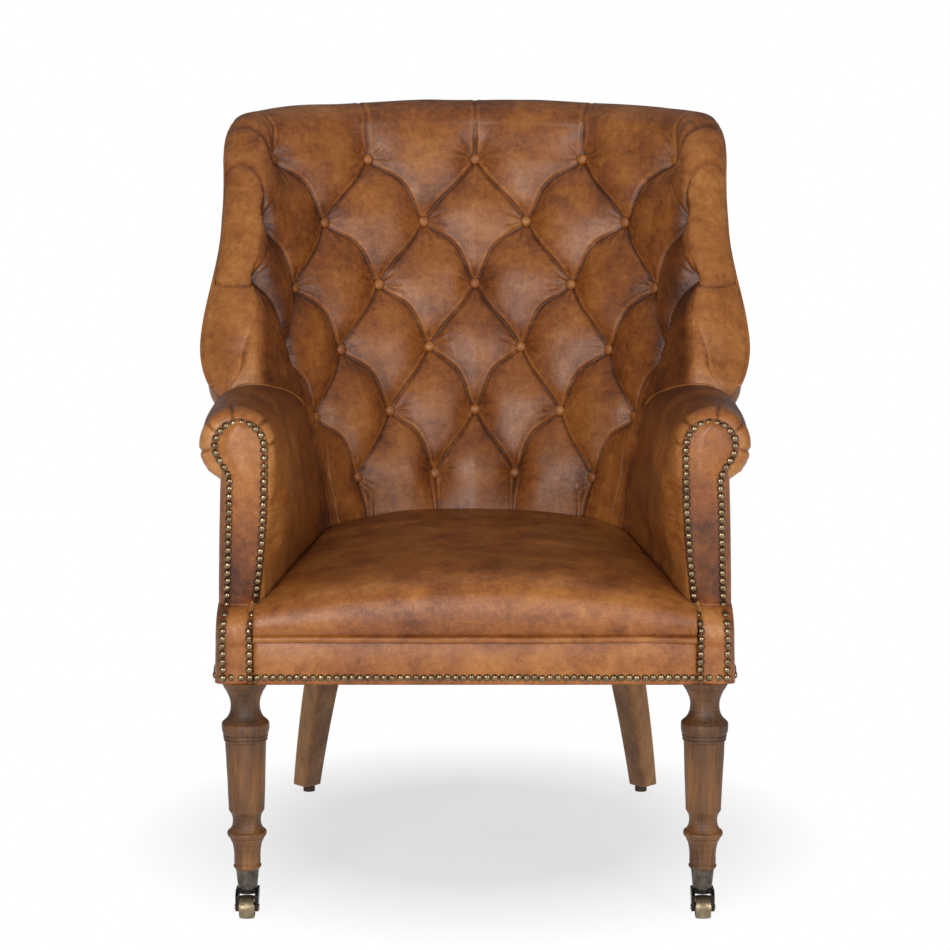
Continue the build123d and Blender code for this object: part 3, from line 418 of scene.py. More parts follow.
def finish_piece(obj, slot, *replaced, fill=None):
    """Gives a piece of the chair the material of its slot, attaches it to the chair's body and hides the
    parts that it stands for.
    """
    obj.data.materials.clear()
    obj.data.materials.append(BY_SLOT[slot])
    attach(obj, "chair")
    if replaced:
        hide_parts(*replaced)


# Tufted back and wings
fold_depth = 13.0
button_pull = 24.0
fold_bow = 0.115           # how far the outer folds bow, in lattice units
seam_line_wing = 2.0       # lattice coordinate of the fold that ends the tufts above
seam_line_low = 4.0        # and below
last_row = 5
ear_pleats = (4.33, 4.80)  # columns of the pleats that run from the upper tufts over the ear
wing_pleat = 802.0         # height of the pleat from the wing's tuft over its front edge
tuck_pleats = (            # column, lean, half width, lower and upper end of pleats near the seat
    (4.30, 0.0012, 2.0, 400.0, 548.0), (4.66, 0.0009, 1.8, 400.0, 530.0), (4.86, 0.0012, 1.6, 400.0, 500.0),
    (4.52, -0.0030, 1.8, 528.0, 590.0), (4.64, -0.0034, 1.5, 520.0, 572.0),
    (3.06, 0.0006, 1.7, 400.0, 524.0), (2.90, -0.0020, 1.6, 400.0, 516.0), (2.76, -0.0036, 1.5, 400.0, 510.0),
    (1.10, 0.0016, 1.7, 400.0, 520.0), (0.93, -0.0016, 1.6, 400.0, 516.0))


def pillow(distance, reach, steep):
    """Rounded rise beside a fold: 0 on it, 1 from reach onwards."""
    t = np.clip(distance / reach, 0.0, 1.0)
    return (1 - (1 - t) ** 2) ** steep


def fold_profile(upper, reach):
    """Rise beside a fold, crease and lip, from the distance to it, positive on its upper side."""
    rise = np.where(upper > 0, pillow(upper, reach, 0.74), pillow(-upper, reach, 0.92))
    return rise, bell(upper + 0.8, 1.7), bell(upper - 3.4, 2.0)


def lattice(k, unrolled):
    """Tuft column and row at columns k and unrolled heights; the tufts of the wings are drawn up and back."""
    a = np.abs(k)
    drawn = smooth(a, 4.5, 5.55)
    return a + 0.45 * drawn, (first_row - unrolled) / row_pitch + 0.2 * drawn


def tufts(k, unrolled):
    """Depth of the tufted surface, its creases, lips, crowns and rays, at columns k and unrolled heights."""
    a, row = lattice(k, unrolled)
    held = np.clip(row, 0.0, last_row)
    q = (a - held) / 2
    p = (a + held) / 2 + fold_bow * np.sin(pi * q) ** 2
    q = q + 0.02 * np.sin(2 * pi * p)
    step = 2 / sqrt(1 / column_pitch ** 2 + 1 / row_pitch ** 2)
    node_p = np.minimum(np.round(p), seam_line_low)
    node_q = np.minimum(np.round(q), seam_line_wing)
    rise_p, crease_p, lip_p = fold_profile((node_p - p) * step, step / 2)
    rise_q, crease_q, lip_q = fold_profile((q - node_q) * step, step / 2)
    on_wing = node_q == seam_line_wing
    keep_q = np.where(on_wing, 0.12 + 0.88 * bell((p - np.round(p)) * step, 22.0), 1.0)
    has_p = q <= seam_line_wing
    has_q = (p <= seam_line_low) | ~has_p
    rise = np.where(has_p, rise_p, 1.0) * np.where(has_q, 1 - (1 - rise_q) * keep_q, 1.0)
    crease = np.maximum(crease_p * has_p, crease_q * keep_q * has_q)
    lip = np.maximum(lip_p * has_p, lip_q * keep_q * has_q)
    off_k = (a - node_p - node_q) * column_pitch
    off_z = (row - node_p + node_q) * row_pitch
    to_button = np.hypot(off_k, off_z)
    pull = bell(to_button, 27.0)
    past_top = np.maximum(0.0, -row) * row_pitch
    past_low = np.maximum(0.0, row - last_row) * row_pitch
    fade = (1 - 0.9 * smooth(past_top, 5.0, 95.0)) * (1 - 0.45 * smooth(past_low, 5.0, 60.0))
    depth = (fold_depth + (button_pull - fold_depth) * pull) * fade
    drop = depth * (1 - rise) + (2.3 * crease - 0.8 * lip * (1 - pull)) * np.maximum(fade, 0.35)
    angle = np.arctan2(off_z, off_k)
    sway = noise(a * 0.7 + 7, row * 0.7 + 3, 3)
    ray = np.cos(11 * angle + 6 * sway) + 0.7 * np.cos(17 * angle - 9 * sway)
    ray = ray * bell(to_button - 17, 14.0) * (0.4 + 0.6 * (noise(a * 1.3, row * 1.3 + 50, 4) > 0))
    drop = drop + 0.75 * ray * np.where(row < last_row + 0.4, 1.0, 0.4)
    return drop, crease * np.maximum(fade, 0.3), lip, rise, ray


def roll_path(k, rows, roll, over):
    """Section of the pad at each column: depth, height, unrolled height and inward direction."""
    top = edge_height(k)
    radius = pad_thickness - roll_lip
    spring = top - radius
    width = wall(k) - pad_thickness
    low = tuck_height + (arm_height - 34.0 - tuck_height) * smooth(np.abs(k), 5.55, 5.85)
    low = np.minimum(low, spring - 6.0)
    up = low + (spring - low) * np.linspace(0, 1, rows)
    inner = np.linspace(0, pi / 2, roll + 1)[1:] + 0 * top
    outer = np.linspace(0, pi / 2, over + 1)[1:] + 0 * top
    n = (roll_lip * np.exp((up - spring) / 22.0), pad_thickness - radius * np.cos(inner),
         pad_thickness + width * np.sin(outer))
    z = up, spring + radius * np.sin(inner), top - roll_drop * (1 - np.cos(outer))
    unrolled = up, spring + radius * inner, spring + radius * pi / 2 + (width + 8) * outer / (pi / 2)
    turn = 0 * up, inner, pi / 2 + outer
    n, z, unrolled, turn = (np.concatenate(stretches, 1) for stretches in (n, z, unrolled, turn))
    return n, z, unrolled, np.cos(turn), -np.sin(turn)


def make_back():
    """Buttoned back with both wings in one skin, rolled over the top and closed behind."""
    columns, rows, roll, over = 560, 300, 30, 20
    k = np.linspace(-wing_end, wing_end, columns)[:, None]
    n, z, unrolled, in_n, in_z = roll_path(k, rows, roll, over)
    k = np.broadcast_to(k, n.shape)
    a = np.abs(k)
    drop, crease, lip, rise, ray = tufts(k, unrolled)
    lump = 1.9 * noise(k * 0.9 + 40, unrolled / 62.0, 11) + 0.7 * noise(k * 2.6 + 9, unrolled / 27.0, 12)
    column, row = lattice(k, unrolled)
    past = np.maximum(0.0, np.minimum(column, 6.0) - 4.0 - row) * row_pitch
    pleat = np.zeros_like(drop)
    for at in ear_pleats:
        bend = at + 0.04 * np.sin(unrolled / 23.0)
        pleat += bell((a - bend) * column_pitch, 2.4) * smooth(past, 2.0, 24.0)
    for at, lean, width, low, top in tuck_pleats:
        bend = at + lean * (unrolled - 470.0)
        part = smooth(unrolled, low - 14.0, low) * (1 - smooth(unrolled, top - 36.0, top))
        pleat += 0.7 * bell((a - bend) * column_pitch, width) * part
    across = z - wing_pleat - 4.0 * noise(a * 3.0, a * 0 + 4.5, 15)
    reach = smooth(a, 5.40, 5.58)
    pleat += bell(across, 2.4) * reach
    gather = np.sin(a * 38.0 + 3.0 * noise(a * 2.0, unrolled / 30.0, 14)) * bell(a - 4.3, 0.22)
    gather = gather * smooth(unrolled, 985.0, 1030.0)
    drop = drop + lump * rise + 3.0 * pleat + 0.8 * gather + 2.6 * bell(across, 16.0) * reach
    join = 5.45 - 0.55 * smooth(z, 455.0, 620.0)
    tucked = smooth(a, join - 0.45, join + 0.15) * (1 - smooth(z, 600.0, 650.0)) * (1 - smooth(a, 5.9, 6.2))
    z = z + drop * in_z
    n = n + drop * in_n + 12.0 * tucked + 9.0 * (1 - smooth(z, 434.0, 456.0))
    middle = wall(k) / 2
    n = middle + (n - middle) * nose(k)
    hidden = np.minimum(pad_thickness + 6.0, n[:, -1:] - 2.0) * np.ones((1, 2))
    n = np.concatenate([n, hidden], 1)
    z = np.concatenate([z, z[:, -1:] - 4.0, z[:, :1]], 1)
    below = unrolled - edge_height(k) + pad_thickness
    # Painted shade darkens the inner sides of the wings and painted highlights lighten their rolled edges and
    # the lips above the folds; creases, pleats and the tuck at the arms darken with patina and painted shade,
    # the sunken streaks round the buttons with painted shade, and the pillows' crowns are lighter.
    painted_shelter_shade = smooth(a, 4.35, 4.9) * smooth(-below, -14.0, 40.0)
    painted_rim_highlight = smooth(a, 4.3, 4.8) * smooth(below, -8.0, 22.0)
    fold = np.clip(crease + 0.8 * pleat + 0.5 * tucked + 0.12 * ray + 0.8 * painted_shelter_shade, 0, 1.3)
    wear = np.clip(0.75 * rise + 0.8 * lip - 0.1 * ray - 0.4 * painted_shelter_shade + 0.45 * painted_rim_highlight, 0, 1.5)
    return tube_grid("tufted_back", barrel(k[:, :1], z, n), fold=fold, wear=wear)


finish_piece(make_back(), "leather", "inside_back", "inside_wing_left", "inside_wing_right", "back_foam",
             fill=0.85)


# Buttons
button_rings = ((6.4, -2.0), (7.6, 0.4), (7.9, 1.8), (7.4, 3.4), (5.9, 4.9), (3.4, 5.9), (0, 6.2))
button_stand = 1.5         # how far a button's base stands in front of the bottom of its pit


def dome(rings, segments):
    """Points and faces of a low dome; rings are radius and height, the last one closes on the axis."""
    turn = np.arange(segments) * 2 * pi / segments
    points = [xyz(r * np.cos(turn), r * np.sin(turn), h) for r, h in rings[:-1]]
    points = np.concatenate(points + [np.array([[0.0, 0.0, rings[-1][1]]])])
    faces = list(grid_faces(len(rings) - 1, segments, True))
    last = (len(rings) - 2) * segments + np.arange(segments)
    faces += list(np.stack([last, np.roll(last, -1), np.full(segments, len(points) - 1)], -1))
    faces.append(np.arange(segments)[::-1])
    return points, faces


def scatter(name, shape, places, **values):
    """One object from copies of a small shape; places are an origin and three axes each."""
    points, faces = shape
    px, py, pz = points.T[:, :, None]
    copies = [origin + px * x + py * y + pz * z for origin, x, y, z in places]
    all_faces = [f + number * len(points) for number in range(len(places)) for f in faces]
    return mesh_object(name, np.concatenate(copies), all_faces, **values)


def facing_axes(out):
    """Three axes for a shape that lies on a face with this outward direction."""
    z = np.asarray(out, float) / np.linalg.norm(out)
    x = np.cross((0, 0, 1.0), z)
    x = x / np.linalg.norm(x)
    return x, np.cross(z, x), z


def make_buttons():
    places = []
    steps = np.linspace(0, wing_nose, 400)
    columns = lattice(steps, first_row)[0]
    for row in range(last_row + 1):
        for column in range(-5, 6):
            held = abs(column) <= 4 or (row % 2 == 1 and row < last_row)
            if (column + row) % 2 or not held:
                continue
            k = np.sign(column) * np.interp(abs(column), columns, steps)
            z = first_row + (lattice(k, first_row)[1] - row) * row_pitch
            _, _, out_x, out_y = plan(k)
            places.append((barrel(k, z, button_pull - button_stand), *facing_axes((-out_x, -out_y, 0.12))))
    return scatter("tuft_buttons", dome(button_rings, 18), places, fold=0.0, wear=0.9)


finish_piece(make_buttons(), "leather", "back_buttons")


# Arms
pleat_angles = (-7.0, 36.0, 84.0, 138.0, 178.0)
arm_counts = (110, 110, 10)    # points over the roll, down the inside and below the seat
roll_sections = (              # y, middle, half width and half height of the roll from the front to the back
    (-44.0, scroll_x, scroll_radius, scroll_radius),
    (200.0, scroll_x + 2.0, scroll_radius + 10.0, scroll_radius + 10.0),
    (320.0, scroll_x + 2.0, scroll_radius + 13.0, scroll_radius - 2.0),
    (436.0, scroll_x - 30.0, scroll_radius - 10.0, scroll_radius - 10.0))
rear_column = wing_column + 0.02
rear_inner = 16.0              # depth of the arm's inside where it meets the back
arm_edge = 18.0                # rounding of the arm's front


def spline(knots, points, at):
    """Smooth curve through points at rising knots, read at the places given, for each column."""
    steps = np.diff(knots, axis=0)
    slopes = np.diff(points, axis=0) / steps
    inner = (slopes[:-1] * steps[1:] + slopes[1:] * steps[:-1]) / (steps[:-1] + steps[1:])
    tangents = np.concatenate([slopes[:1], inner, slopes[-1:]])
    for i, h in enumerate(steps):
        t = (at - knots[i]) / h
        t = t if i else np.maximum(t, -0.2)    # the curve runs on only a little before the first knot
        value = ((2 * t ** 3 - 3 * t ** 2 + 1) * points[i] + (t ** 3 - 2 * t ** 2 + t) * h * tangents[i]
                 + (-2 * t ** 3 + 3 * t ** 2) * points[i + 1] + (t ** 3 - t ** 2) * h * tangents[i + 1])
        result = np.where(at >= knots[i], value, result) if i else value
    return result


def arc_depth(z, *points):
    """y at heights z on the arc through three points, each a y and a height."""
    p, q, r = np.array(points)
    centre = np.linalg.solve([q - p, r - q], [(q @ q - p @ p) / 2, (r @ r - q @ q) / 2])
    reach = np.sqrt(np.maximum(0.0, (p - centre) @ (p - centre) - (z - centre[1]) ** 2))
    return centre[0] + (reach if q[0] > centre[0] else -reach)


def facing_depth(z):
    """y of the facing's front at height z: upright scroll, a hollow waist and an upright foot."""
    z = np.asarray(z, float)
    waist = waist_face, waist_height
    half_way = (scroll_face + waist_face) / 2 - 4.0, (face_neck + waist_height) / 2
    hollow = arc_depth(z, (scroll_face, face_neck), half_way, waist)
    swell = arc_depth(z, waist, (frame_front + 6.0, waist_height - 12.0), (frame_front, face_shoulder))
    depth = np.where(z > face_neck, scroll_face, hollow)
    depth = np.where(z < waist_height, swell, depth)
    return np.where(z < face_shoulder, frame_front, depth)


def arm_section(centre, radius, rise, seat_side):
    """Visible line of an arm's section, from under the roll, over it and down to the seat frame."""
    over, down, below = arm_counts
    angle = np.radians(np.linspace(roll_under, 180.0, over))
    t = np.linspace(0, 1, down + 1)[1:]
    inner = centre - radius
    side = inner + (seat_side - inner) * smooth(t, 0, 1) - 3.0 * np.sin(pi * t)
    x = np.concatenate([centre + radius * np.cos(angle), side, np.full(below, seat_side)])
    foot = np.linspace(arm_seat_line, arm_base, below + 1)[1:]
    z = np.concatenate([scroll_z + rise * np.sin(angle), scroll_z + (arm_seat_line - scroll_z) * t, foot])
    return x, z


def arm_form():
    """Sections of the right arm from front to rear, each a line of points."""
    sections = []
    for y, centre, radius, rise in roll_sections[:-1]:
        x, z = arm_section(centre, radius, rise, arm_seat_x - arm_seat_taper * y)
        sections.append(xyz(x, y, z))
    half = (wall(rear_column) + 4.0 - rear_inner) / 2
    n, z = arm_section(rear_inner + half, half, half, rear_inner)
    sections.append(barrel(rear_column, z, n))
    return np.array(sections)


def make_arm(side, word):
    """Stuffed inside arm and scroll roll, rounded at the front towards the nails."""
    sections = arm_form()
    knots = sections[:, :, 1]
    body, lip = 90, 12
    front = facing_depth(sections[0, :, 2]) + 3.0
    w = (np.linspace(0, 1, body) ** 1.25)[:, None]
    y = (front + arm_edge) + w * (knots[-1] - front - arm_edge)
    x = spline(knots, sections[:, :, 0], y)
    z = spline(knots, sections[:, :, 2], y)
    along_x, along_z = np.gradient(x[0]), np.gradient(z[0])
    length = np.hypot(along_x, along_z)
    in_x, in_z = -along_z / length, along_x / length
    f = np.linspace(pi / 2, 0, lip + 1)[:-1, None]
    off = np.concatenate([[[arm_edge]], arm_edge * (1 - np.cos(f))])
    lip_y = np.concatenate([(front + 40.0)[None], front + arm_edge * (1 - np.sin(f))])
    x = np.concatenate([x[0] + off * in_x, x])
    y = np.concatenate([lip_y, y])
    z = np.concatenate([z[0] + off * in_z, z])
    along = np.broadcast_to(np.arange(sum(arm_counts)), x.shape)
    angle = np.degrees(np.arctan2(z - scroll_z, x - scroll_x)) % 360
    angle = np.where(angle > 270, angle - 360, angle)
    depth_back = y - front
    pleat = np.zeros_like(x)
    for number, at in enumerate(pleat_angles):
        skew = at + 0.12 * depth_back * (1 if number % 2 else -1)
        pleat += bell(radians(1) * (angle - skew) * scroll_radius, 2.2)
    pleat *= 1 - smooth(depth_back, 16.0, 44.0)
    near_nails = bell(depth_back - 22.0, 32.0) * smooth(scroll_z + 4.0 - z, 0.0, 20.0)
    wrinkle = noise(z / 4.2, depth_back / 40.0 + 20, 31) + 0.5 * noise(z / 9.0, depth_back / 30.0, 32)
    wrinkle = near_nails * smooth(z, 440.0, 500.0) * wrinkle
    lump = 1.3 * noise(y / 110.0, along / 50.0 + 30, 33) + 0.5 * noise(y / 50.0, along / 22.0, 34)
    swell = smooth(depth_back, 4.0, 75.0) * (1 - smooth(y, 120.0, 290.0)) * (x < scroll_x)
    swell = swell * smooth(scroll_z + 8.0 - z, 0.0, 60.0) * smooth(z, 436.0, 500.0)
    push = 3.4 * pleat + 1.8 * wrinkle + lump * smooth(depth_back, 30.0, 90.0) - 11.0 * swell
    x = x + push * in_x
    z = z + push * in_z
    inner = xyz(x[:, -1:] + 14.0, np.maximum(y[:, -1:], 40.0), z[:, -1:])
    under = xyz(x[:, :1] - 2.0, np.maximum(y[:, :1], 40.0), z[:, :1] + 12.0)
    grid = np.concatenate([xyz(x, y, z), inner, under], 1) * (side, 1, 1)
    # Painted shade darkens the top of the roll and the arm towards the back, and a painted highlight lightens
    # the inside near the front; pleats and wrinkles darken with patina and painted shade.
    top = smooth(z, 600.0, 655.0) * smooth(depth_back, 14.0, 34.0)
    painted_shelter_shade = smooth(y, 130.0, 300.0)
    painted_front_light = bell(depth_back - 18.0, 40.0) * (1 - smooth(z, 630.0, 660.0))
    fold = np.clip(pleat + 0.35 * np.abs(wrinkle), 0, 1) + 0.55 * top + 0.3 * painted_shelter_shade
    wear = 0.7 - 0.4 * top - 0.3 * painted_shelter_shade + 0.8 * painted_front_light
    return tube_grid(f"arm_{word}", grid, fold=fold, wear=wear)


for side, word in SIDES:
    finish_piece(make_arm(side, word), "leather", f"arm_pad_{word}", fill=0.9)


# Arm facings and nails
arch_x = leg_x + 2.0
nail_arch = 31.0
neck_half = 12.5            # from the middle of the arch to the nails at the neck
foot_half = 26.0            # from the leg's axis to the nails at the foot
facing_margin = 5.0         # of the leather outside the nails
nail_rings = ((4.75, -0.4), (4.85, 0.5), (4.3, 1.5), (3.3, 2.4), (1.8, 3.0), (0, 3.2))
nail_shape = dome(nail_rings, 14)
nail_pitch = 10.0
nail_row = frame_height + 8.6
nail_line_points = 160      # of the line that the nails follow, from the waist to the scroll


def facing_edges(margin, count):
    """Heights with the inner and the outer x of the facing, margin outside the line of the nails."""
    arch = nail_arch + margin
    turn = np.linspace(0, pi / 2, count // 3 + 1)[1:]
    ledge = np.linspace(0, pi / 2, count // 4)
    z = np.concatenate([
        np.linspace(frame_height, face_shoulder, count // 6)[:-1],
        face_shoulder + (waist_height - face_shoulder) * np.sin(ledge),
        np.linspace(waist_height, scroll_z, count)[1:],
        scroll_z + arch * np.sin(turn)])
    t = np.clip((z - arm_base) / (scroll_z - arm_base), 0, 1)
    foot_in = leg_x - 8.0 - margin
    inner = foot_in + (arch_x - arch - foot_in) * (1 - (1 - t) ** 2.1)
    neck = scroll_z - 36.0
    foot_out = leg_x + foot_half
    outer = margin + np.interp(z, [frame_height, arm_base - 7.0, waist_height + 25.0, neck],
                               [foot_out, foot_out, foot_out - 5.0, arch_x + neck_half])
    t = np.clip((z - neck) / (scroll_z - neck), 0, 1)
    outer = outer + (nail_arch - neck_half) * smooth(t, -0.25, 1.0) * (z > neck)
    round_off = arch * np.sqrt(np.clip(1 - ((z - scroll_z) / arch) ** 2, 0, 1))
    inner = np.where(z > scroll_z, arch_x - round_off, inner)
    outer = np.where(z > scroll_z, arch_x + round_off, outer)
    return z, inner, outer


def make_facing(side, word):
    """Padded front panel of an arm, drawn in along the nails."""
    z, inner, outer = (line[:, None] for line in facing_edges(facing_margin, 120))
    u = np.linspace(0, 1, 31)[None]
    x = inner + (outer - inner) * u
    across = (outer - inner) * np.minimum(u, 1 - u)
    face = facing_depth(z)
    puff = (4.0 + 2.5 * smooth(z, 520.0, 600.0)) * smooth(across, facing_margin, 26.0)
    puff = puff - 1.2 * bell(across - facing_margin, 3.0) + 0.5 * noise(x / 16.0 + 50, z / 30.0, 41 + side)
    y = face - puff + 3.6 * (1 - smooth(across, 0.0, 3.0))
    x = np.concatenate([x, outer, inner], 1) * side
    y = np.concatenate([y, face + 4.0, face + 4.0], 1)
    # Painted shade darkens the hollow above the waist, and painted highlights lighten the panel just below
    # the waist and towards the top; it is also darker along the line of the nails, with patina and painted
    # shade where the leather is drawn in.
    hollow = smooth(575.0 - z, 0.0, 160.0) * (z > waist_height + 1.0)
    painted_knee_highlight = bell(z - 394.0, 22.0) * smooth(across, facing_margin, 14.0)
    fold = 0.55 * bell(across - facing_margin, 4.5) + 1.1 * hollow
    wear = 0.45 + 0.40 * smooth(z, 520, 640) + 1.1 * painted_knee_highlight
    return tube_grid(f"arm_face_{word}", xyz(x, y, z), fold=fold, wear=wear)


def spaced(points, pitch):
    """Places along a line of points at an even pitch, close to the one given."""
    runs = np.concatenate([[0], np.cumsum(np.linalg.norm(np.diff(points, axis=0), axis=1))])
    count = int(round(runs[-1] / pitch))
    at = np.linspace(0, runs[-1], count + 1)
    return np.stack([np.interp(at, runs, column) for column in points.T], -1)


def nail_places(points, outs, seed):
    """A frame for each nail with the small tilts of hand work."""
    rng = np.random.default_rng(seed)
    places = []
    for point, out in zip(points, outs):
        x, y, z = facing_axes(np.asarray(out, float) + rng.normal(0, 0.05, 3))
        size = rng.normal(1.0, 0.02)
        jitter = rng.normal(0, 0.25, 2)
        places.append((point + jitter[0] * x + jitter[1] * y, x * size, y * size, z))
    return places


def make_arm_nails(side, word):
    z, inner, outer = facing_edges(0.0, nail_line_points)
    shown = z > nail_row
    heights = [nail_row, *z[shown]]
    up, down = (np.stack([[edge[0], *edge[shown]], heights], -1) for edge in (inner, outer))
    x, z = spaced(np.concatenate([up, down[::-1]]), nail_pitch)[1:-1].T
    slope = (facing_depth(z + 3.0) - facing_depth(z - 3.0)) / 6.0
    points = xyz(side * x, facing_depth(z) + 0.2, z)
    return scatter(f"nails_arm_{word}", nail_shape, nail_places(points, xyz(0.0, -1.0, slope), 60 + side))


def make_rail_nails():
    _, inner, outer = facing_edges(0.0, nail_line_points)
    ends = np.linspace(inner[0], outer[0], 4)
    x = spaced(np.array([[-inner[0], 0.0], [inner[0], 0.0]]), nail_pitch)[:, 0]
    x = np.concatenate([-ends[:0:-1], x, ends[1:]])
    points = xyz(x, frame_front - 1.4, nail_row)
    return scatter("nails_front", nail_shape, nail_places(points, [(0, -1, 0)] * len(x), 70))


for side, word in SIDES:
    finish_piece(make_facing(side, word), "leather", f"arm_facing_{word}", fill=0.6)
    finish_piece(make_arm_nails(side, word), "nail_brass", f"arm_nails_{word}")
finish_piece(make_rail_nails(), "nail_brass", "rail_nails")


# Seat, border and piping
seat_half = leg_x - 14.0    # half the width of the seat's front
seat_middle = 200.0         # y where the seat's front half ends
seat_crown_line = (         # y and height of the seat's front half along the middle
    (-29, 375.5), (-34.5, 382), (-37.5, 390), (-37.8, 404), (-35, 420), (-28, 434), (-12, 447),
    (20, 455.5), (62, 459.5), (130, 462), (seat_middle, seat_crest))
seat_side_line = (          # and along the arms
    (-29, 375.5), (-33.5, 380), (-36.0, 386), (-36.4, 391), (-34, 399), (-28, 407), (-12, 415),
    (20, 422), (62, 428), (130, 434), (seat_middle, seat_edge))


def make_seat():
    """Tight crowned seat that bulges over the piping and tucks in along the arms and the back."""
    across, front_rows, rear_rows = 150, 70, 70
    u = np.linspace(-1, 1, across)
    mix = (1 - np.abs(u) ** 2.2)[None]
    v = np.linspace(0, len(seat_crown_line) - 1, front_rows)[:, None]
    knots = np.arange(len(seat_crown_line), dtype=float)[:, None]
    crown, edge = (np.array(line) for line in (seat_crown_line, seat_side_line))
    crown_y, crown_z, edge_y, edge_z = (spline(knots, line[:, None], v) for line in (*crown.T, *edge.T))
    y = edge_y + (crown_y - edge_y) * mix
    z = edge_z + (crown_z - edge_z) * mix
    arm_side = arm_seat_x + 4.0 - arm_seat_taper * np.maximum(y, 0)
    x = (seat_half + (arm_side - seat_half) * smooth(y, -20.0, 60.0)) * u[None]
    rear = barrel(5.45 * u, 448.0, 4.0)
    w = np.linspace(0, 1, rear_rows + 1)[1:, None]
    rear_crown = seat_crest + 2.0 * w
    rear_edge = seat_edge + 9.0 * w
    x = np.concatenate([x, x[-1] + (rear[:, 0] - x[-1]) * w ** 1.1])
    y = np.concatenate([y, y[-1] + (rear[:, 1] - y[-1]) * w])
    z = np.concatenate([z, rear_edge + (rear_crown - rear_edge) * mix])
    to_side = (1 - np.abs(u))[None] * seat_half
    to_rear = np.concatenate([np.full((front_rows, 1), 400.0), 240.0 * (1 - w)])
    tuck = 15.0 * np.exp(-to_side / 9.0) * smooth(y, -20.0, 30.0) + 9.0 * np.exp(-to_rear / 6.0)
    lump = 1.6 * noise(x / 90.0, y / 90.0, 51) + 0.5 * noise(x / 30.0, y / 26.0, 52)
    pulls = 0.7 * noise(x / 9.0, z / 60.0, 53) * bell(z - 376.0, 16.0) * (y < 0)
    z = z - tuck + lump * smooth(z, 380, 420)
    y = y + pulls + 0.8 * noise(x / 70.0, z / 40.0, 54) * (y < 0)
    grid = xyz(x, y, z)
    low = grid[[-1, 0]]
    low[:, :, 1] += np.array([[-4.0], [6.0]])
    low[:, :, 2] = seat_bottom
    grid = np.concatenate([grid, low])
    # Painted shade darkens the tucks along the arms and the back and the seat towards the back; a painted
    # highlight lightens the front crest.
    fold = np.clip(tuck / 14.0, 0, 1) * 0.9
    painted_crest_highlight = bell(z - 432.0, 22.0) * bell(y + 20.0, 40.0)
    wear = 0.55 + 0.45 * painted_crest_highlight - 0.22 * smooth(y, 150, 420)
    return tube_grid("seat", np.swapaxes(grid, 0, 1), fold=fold.T, wear=wear.T)


def tube(name, line, radius, segments=10, wear=0.9):
    """Round cord along a line of points."""
    tangent = np.gradient(line, axis=0)
    tangent /= np.linalg.norm(tangent, axis=1)[:, None]
    side = np.empty_like(tangent)
    before = np.cross(tangent[0], (0.0, 1.0, 0.0) if abs(tangent[0, 2]) > 0.9 else (0.0, 0.0, 1.0))
    for i, along in enumerate(tangent):
        before = before - np.dot(before, along) * along
        before = before / np.linalg.norm(before)
        side[i] = before
    up = np.cross(side, tangent)
    turn = (np.arange(segments) * 2 * pi / segments)[None, :, None]
    grid = line[:, None] + radius * (np.cos(turn) * side[:, None] + np.sin(turn) * up[:, None])
    return tube_grid(name, grid, fold=0.0, wear=wear)


def make_piping():
    x = np.linspace(-border_half, border_half, 160)
    z = 372.0 + 1.3 * noise(x / 70.0 + 5, x * 0 + 2, 61) - 1.2 * bell(x, 160.0)
    y = frame_front - 5.0 + 0.5 * noise(x / 50.0, x * 0 + 6, 62)
    return tube("seat_cord", xyz(x, y, z), piping_radius, 14, 0.8)


def make_border():
    """Leather strip under the piping, a little puffed."""
    x = np.linspace(-border_half, border_half, 200)[:, None]
    t = np.linspace(0, 1, 22)[None]
    z = frame_height - 1.0 + (rail_height + 8.0) * t + 0 * x
    puff = 3.2 * np.sin(pi * np.clip((t - 0.08) / 0.86, 0, 1)) ** 0.8
    y = frame_front - puff - 0.5 * noise(x / 45.0, t * 2.0 + 3, 71)
    y = y + 3.0 * smooth(np.abs(x), border_half - 5.5, border_half)
    y = np.pad(y, ((0, 0), (0, 2)), constant_values=frame_front + 4.0)
    # Painted shade darkens the strip along its top under the piping and along its bottom edge.
    fold = 0.5 * np.exp(-t / 0.06) + 0.5 * np.exp(-(1 - t) / 0.08) + 0 * x
    wear = np.full(z.shape, 0.85)
    z = np.concatenate([z, z[:, [-1, 0]]], 1)
    return tube_grid("seat_border", xyz(x, y, z), fold=fold, wear=wear)


finish_piece(make_seat(), "leather", "seat_cover", "seat_foam", fill=0.95)
finish_piece(make_piping(), "leather", "seat_piping")
finish_piece(make_border(), "leather", "front_border", fill=0.4)


# Outside panels and welts
panel_thickness = 3.0
panel_corner = 13.0         # rounding of the outside arm at its front
panel_step = 1.5            # from the facing's front back to the panel's edge


def panel(name, grid, flip, **values):
    """Leather sheet with an even thickness behind its face."""
    quads = grid_faces(*grid.shape[:2], False)
    obj = mesh_object(name, grid.reshape(-1, 3), list(quads[:, ::-1] if flip else quads), **values)
    thick = obj.modifiers.new("thickness", "SOLIDIFY")
    thick.thickness = panel_thickness * MM
    thick.offset = -1.0
    return obj


def make_outside_back():
    k = np.linspace(-wing_column, wing_column, 170)[:, None]
    t = np.linspace(0, 1, 120)[None]
    top = edge_height(k) - roll_drop
    z = frame_height + (top - frame_height) * t
    edge = np.minimum(np.abs(np.abs(k) - wing_column) * column_pitch, (1 - t) * (top - frame_height))
    puff = 3.0 * smooth(edge, 0.0, 60.0) + 0.9 * noise(k * 0.9 + 60, z / 70.0, 81)
    grid = barrel(k, z, wall(k, z) + puff - 1.0)
    return panel("back_outside", grid, False, fold=np.exp(-edge / 5.0), wear=0.55)


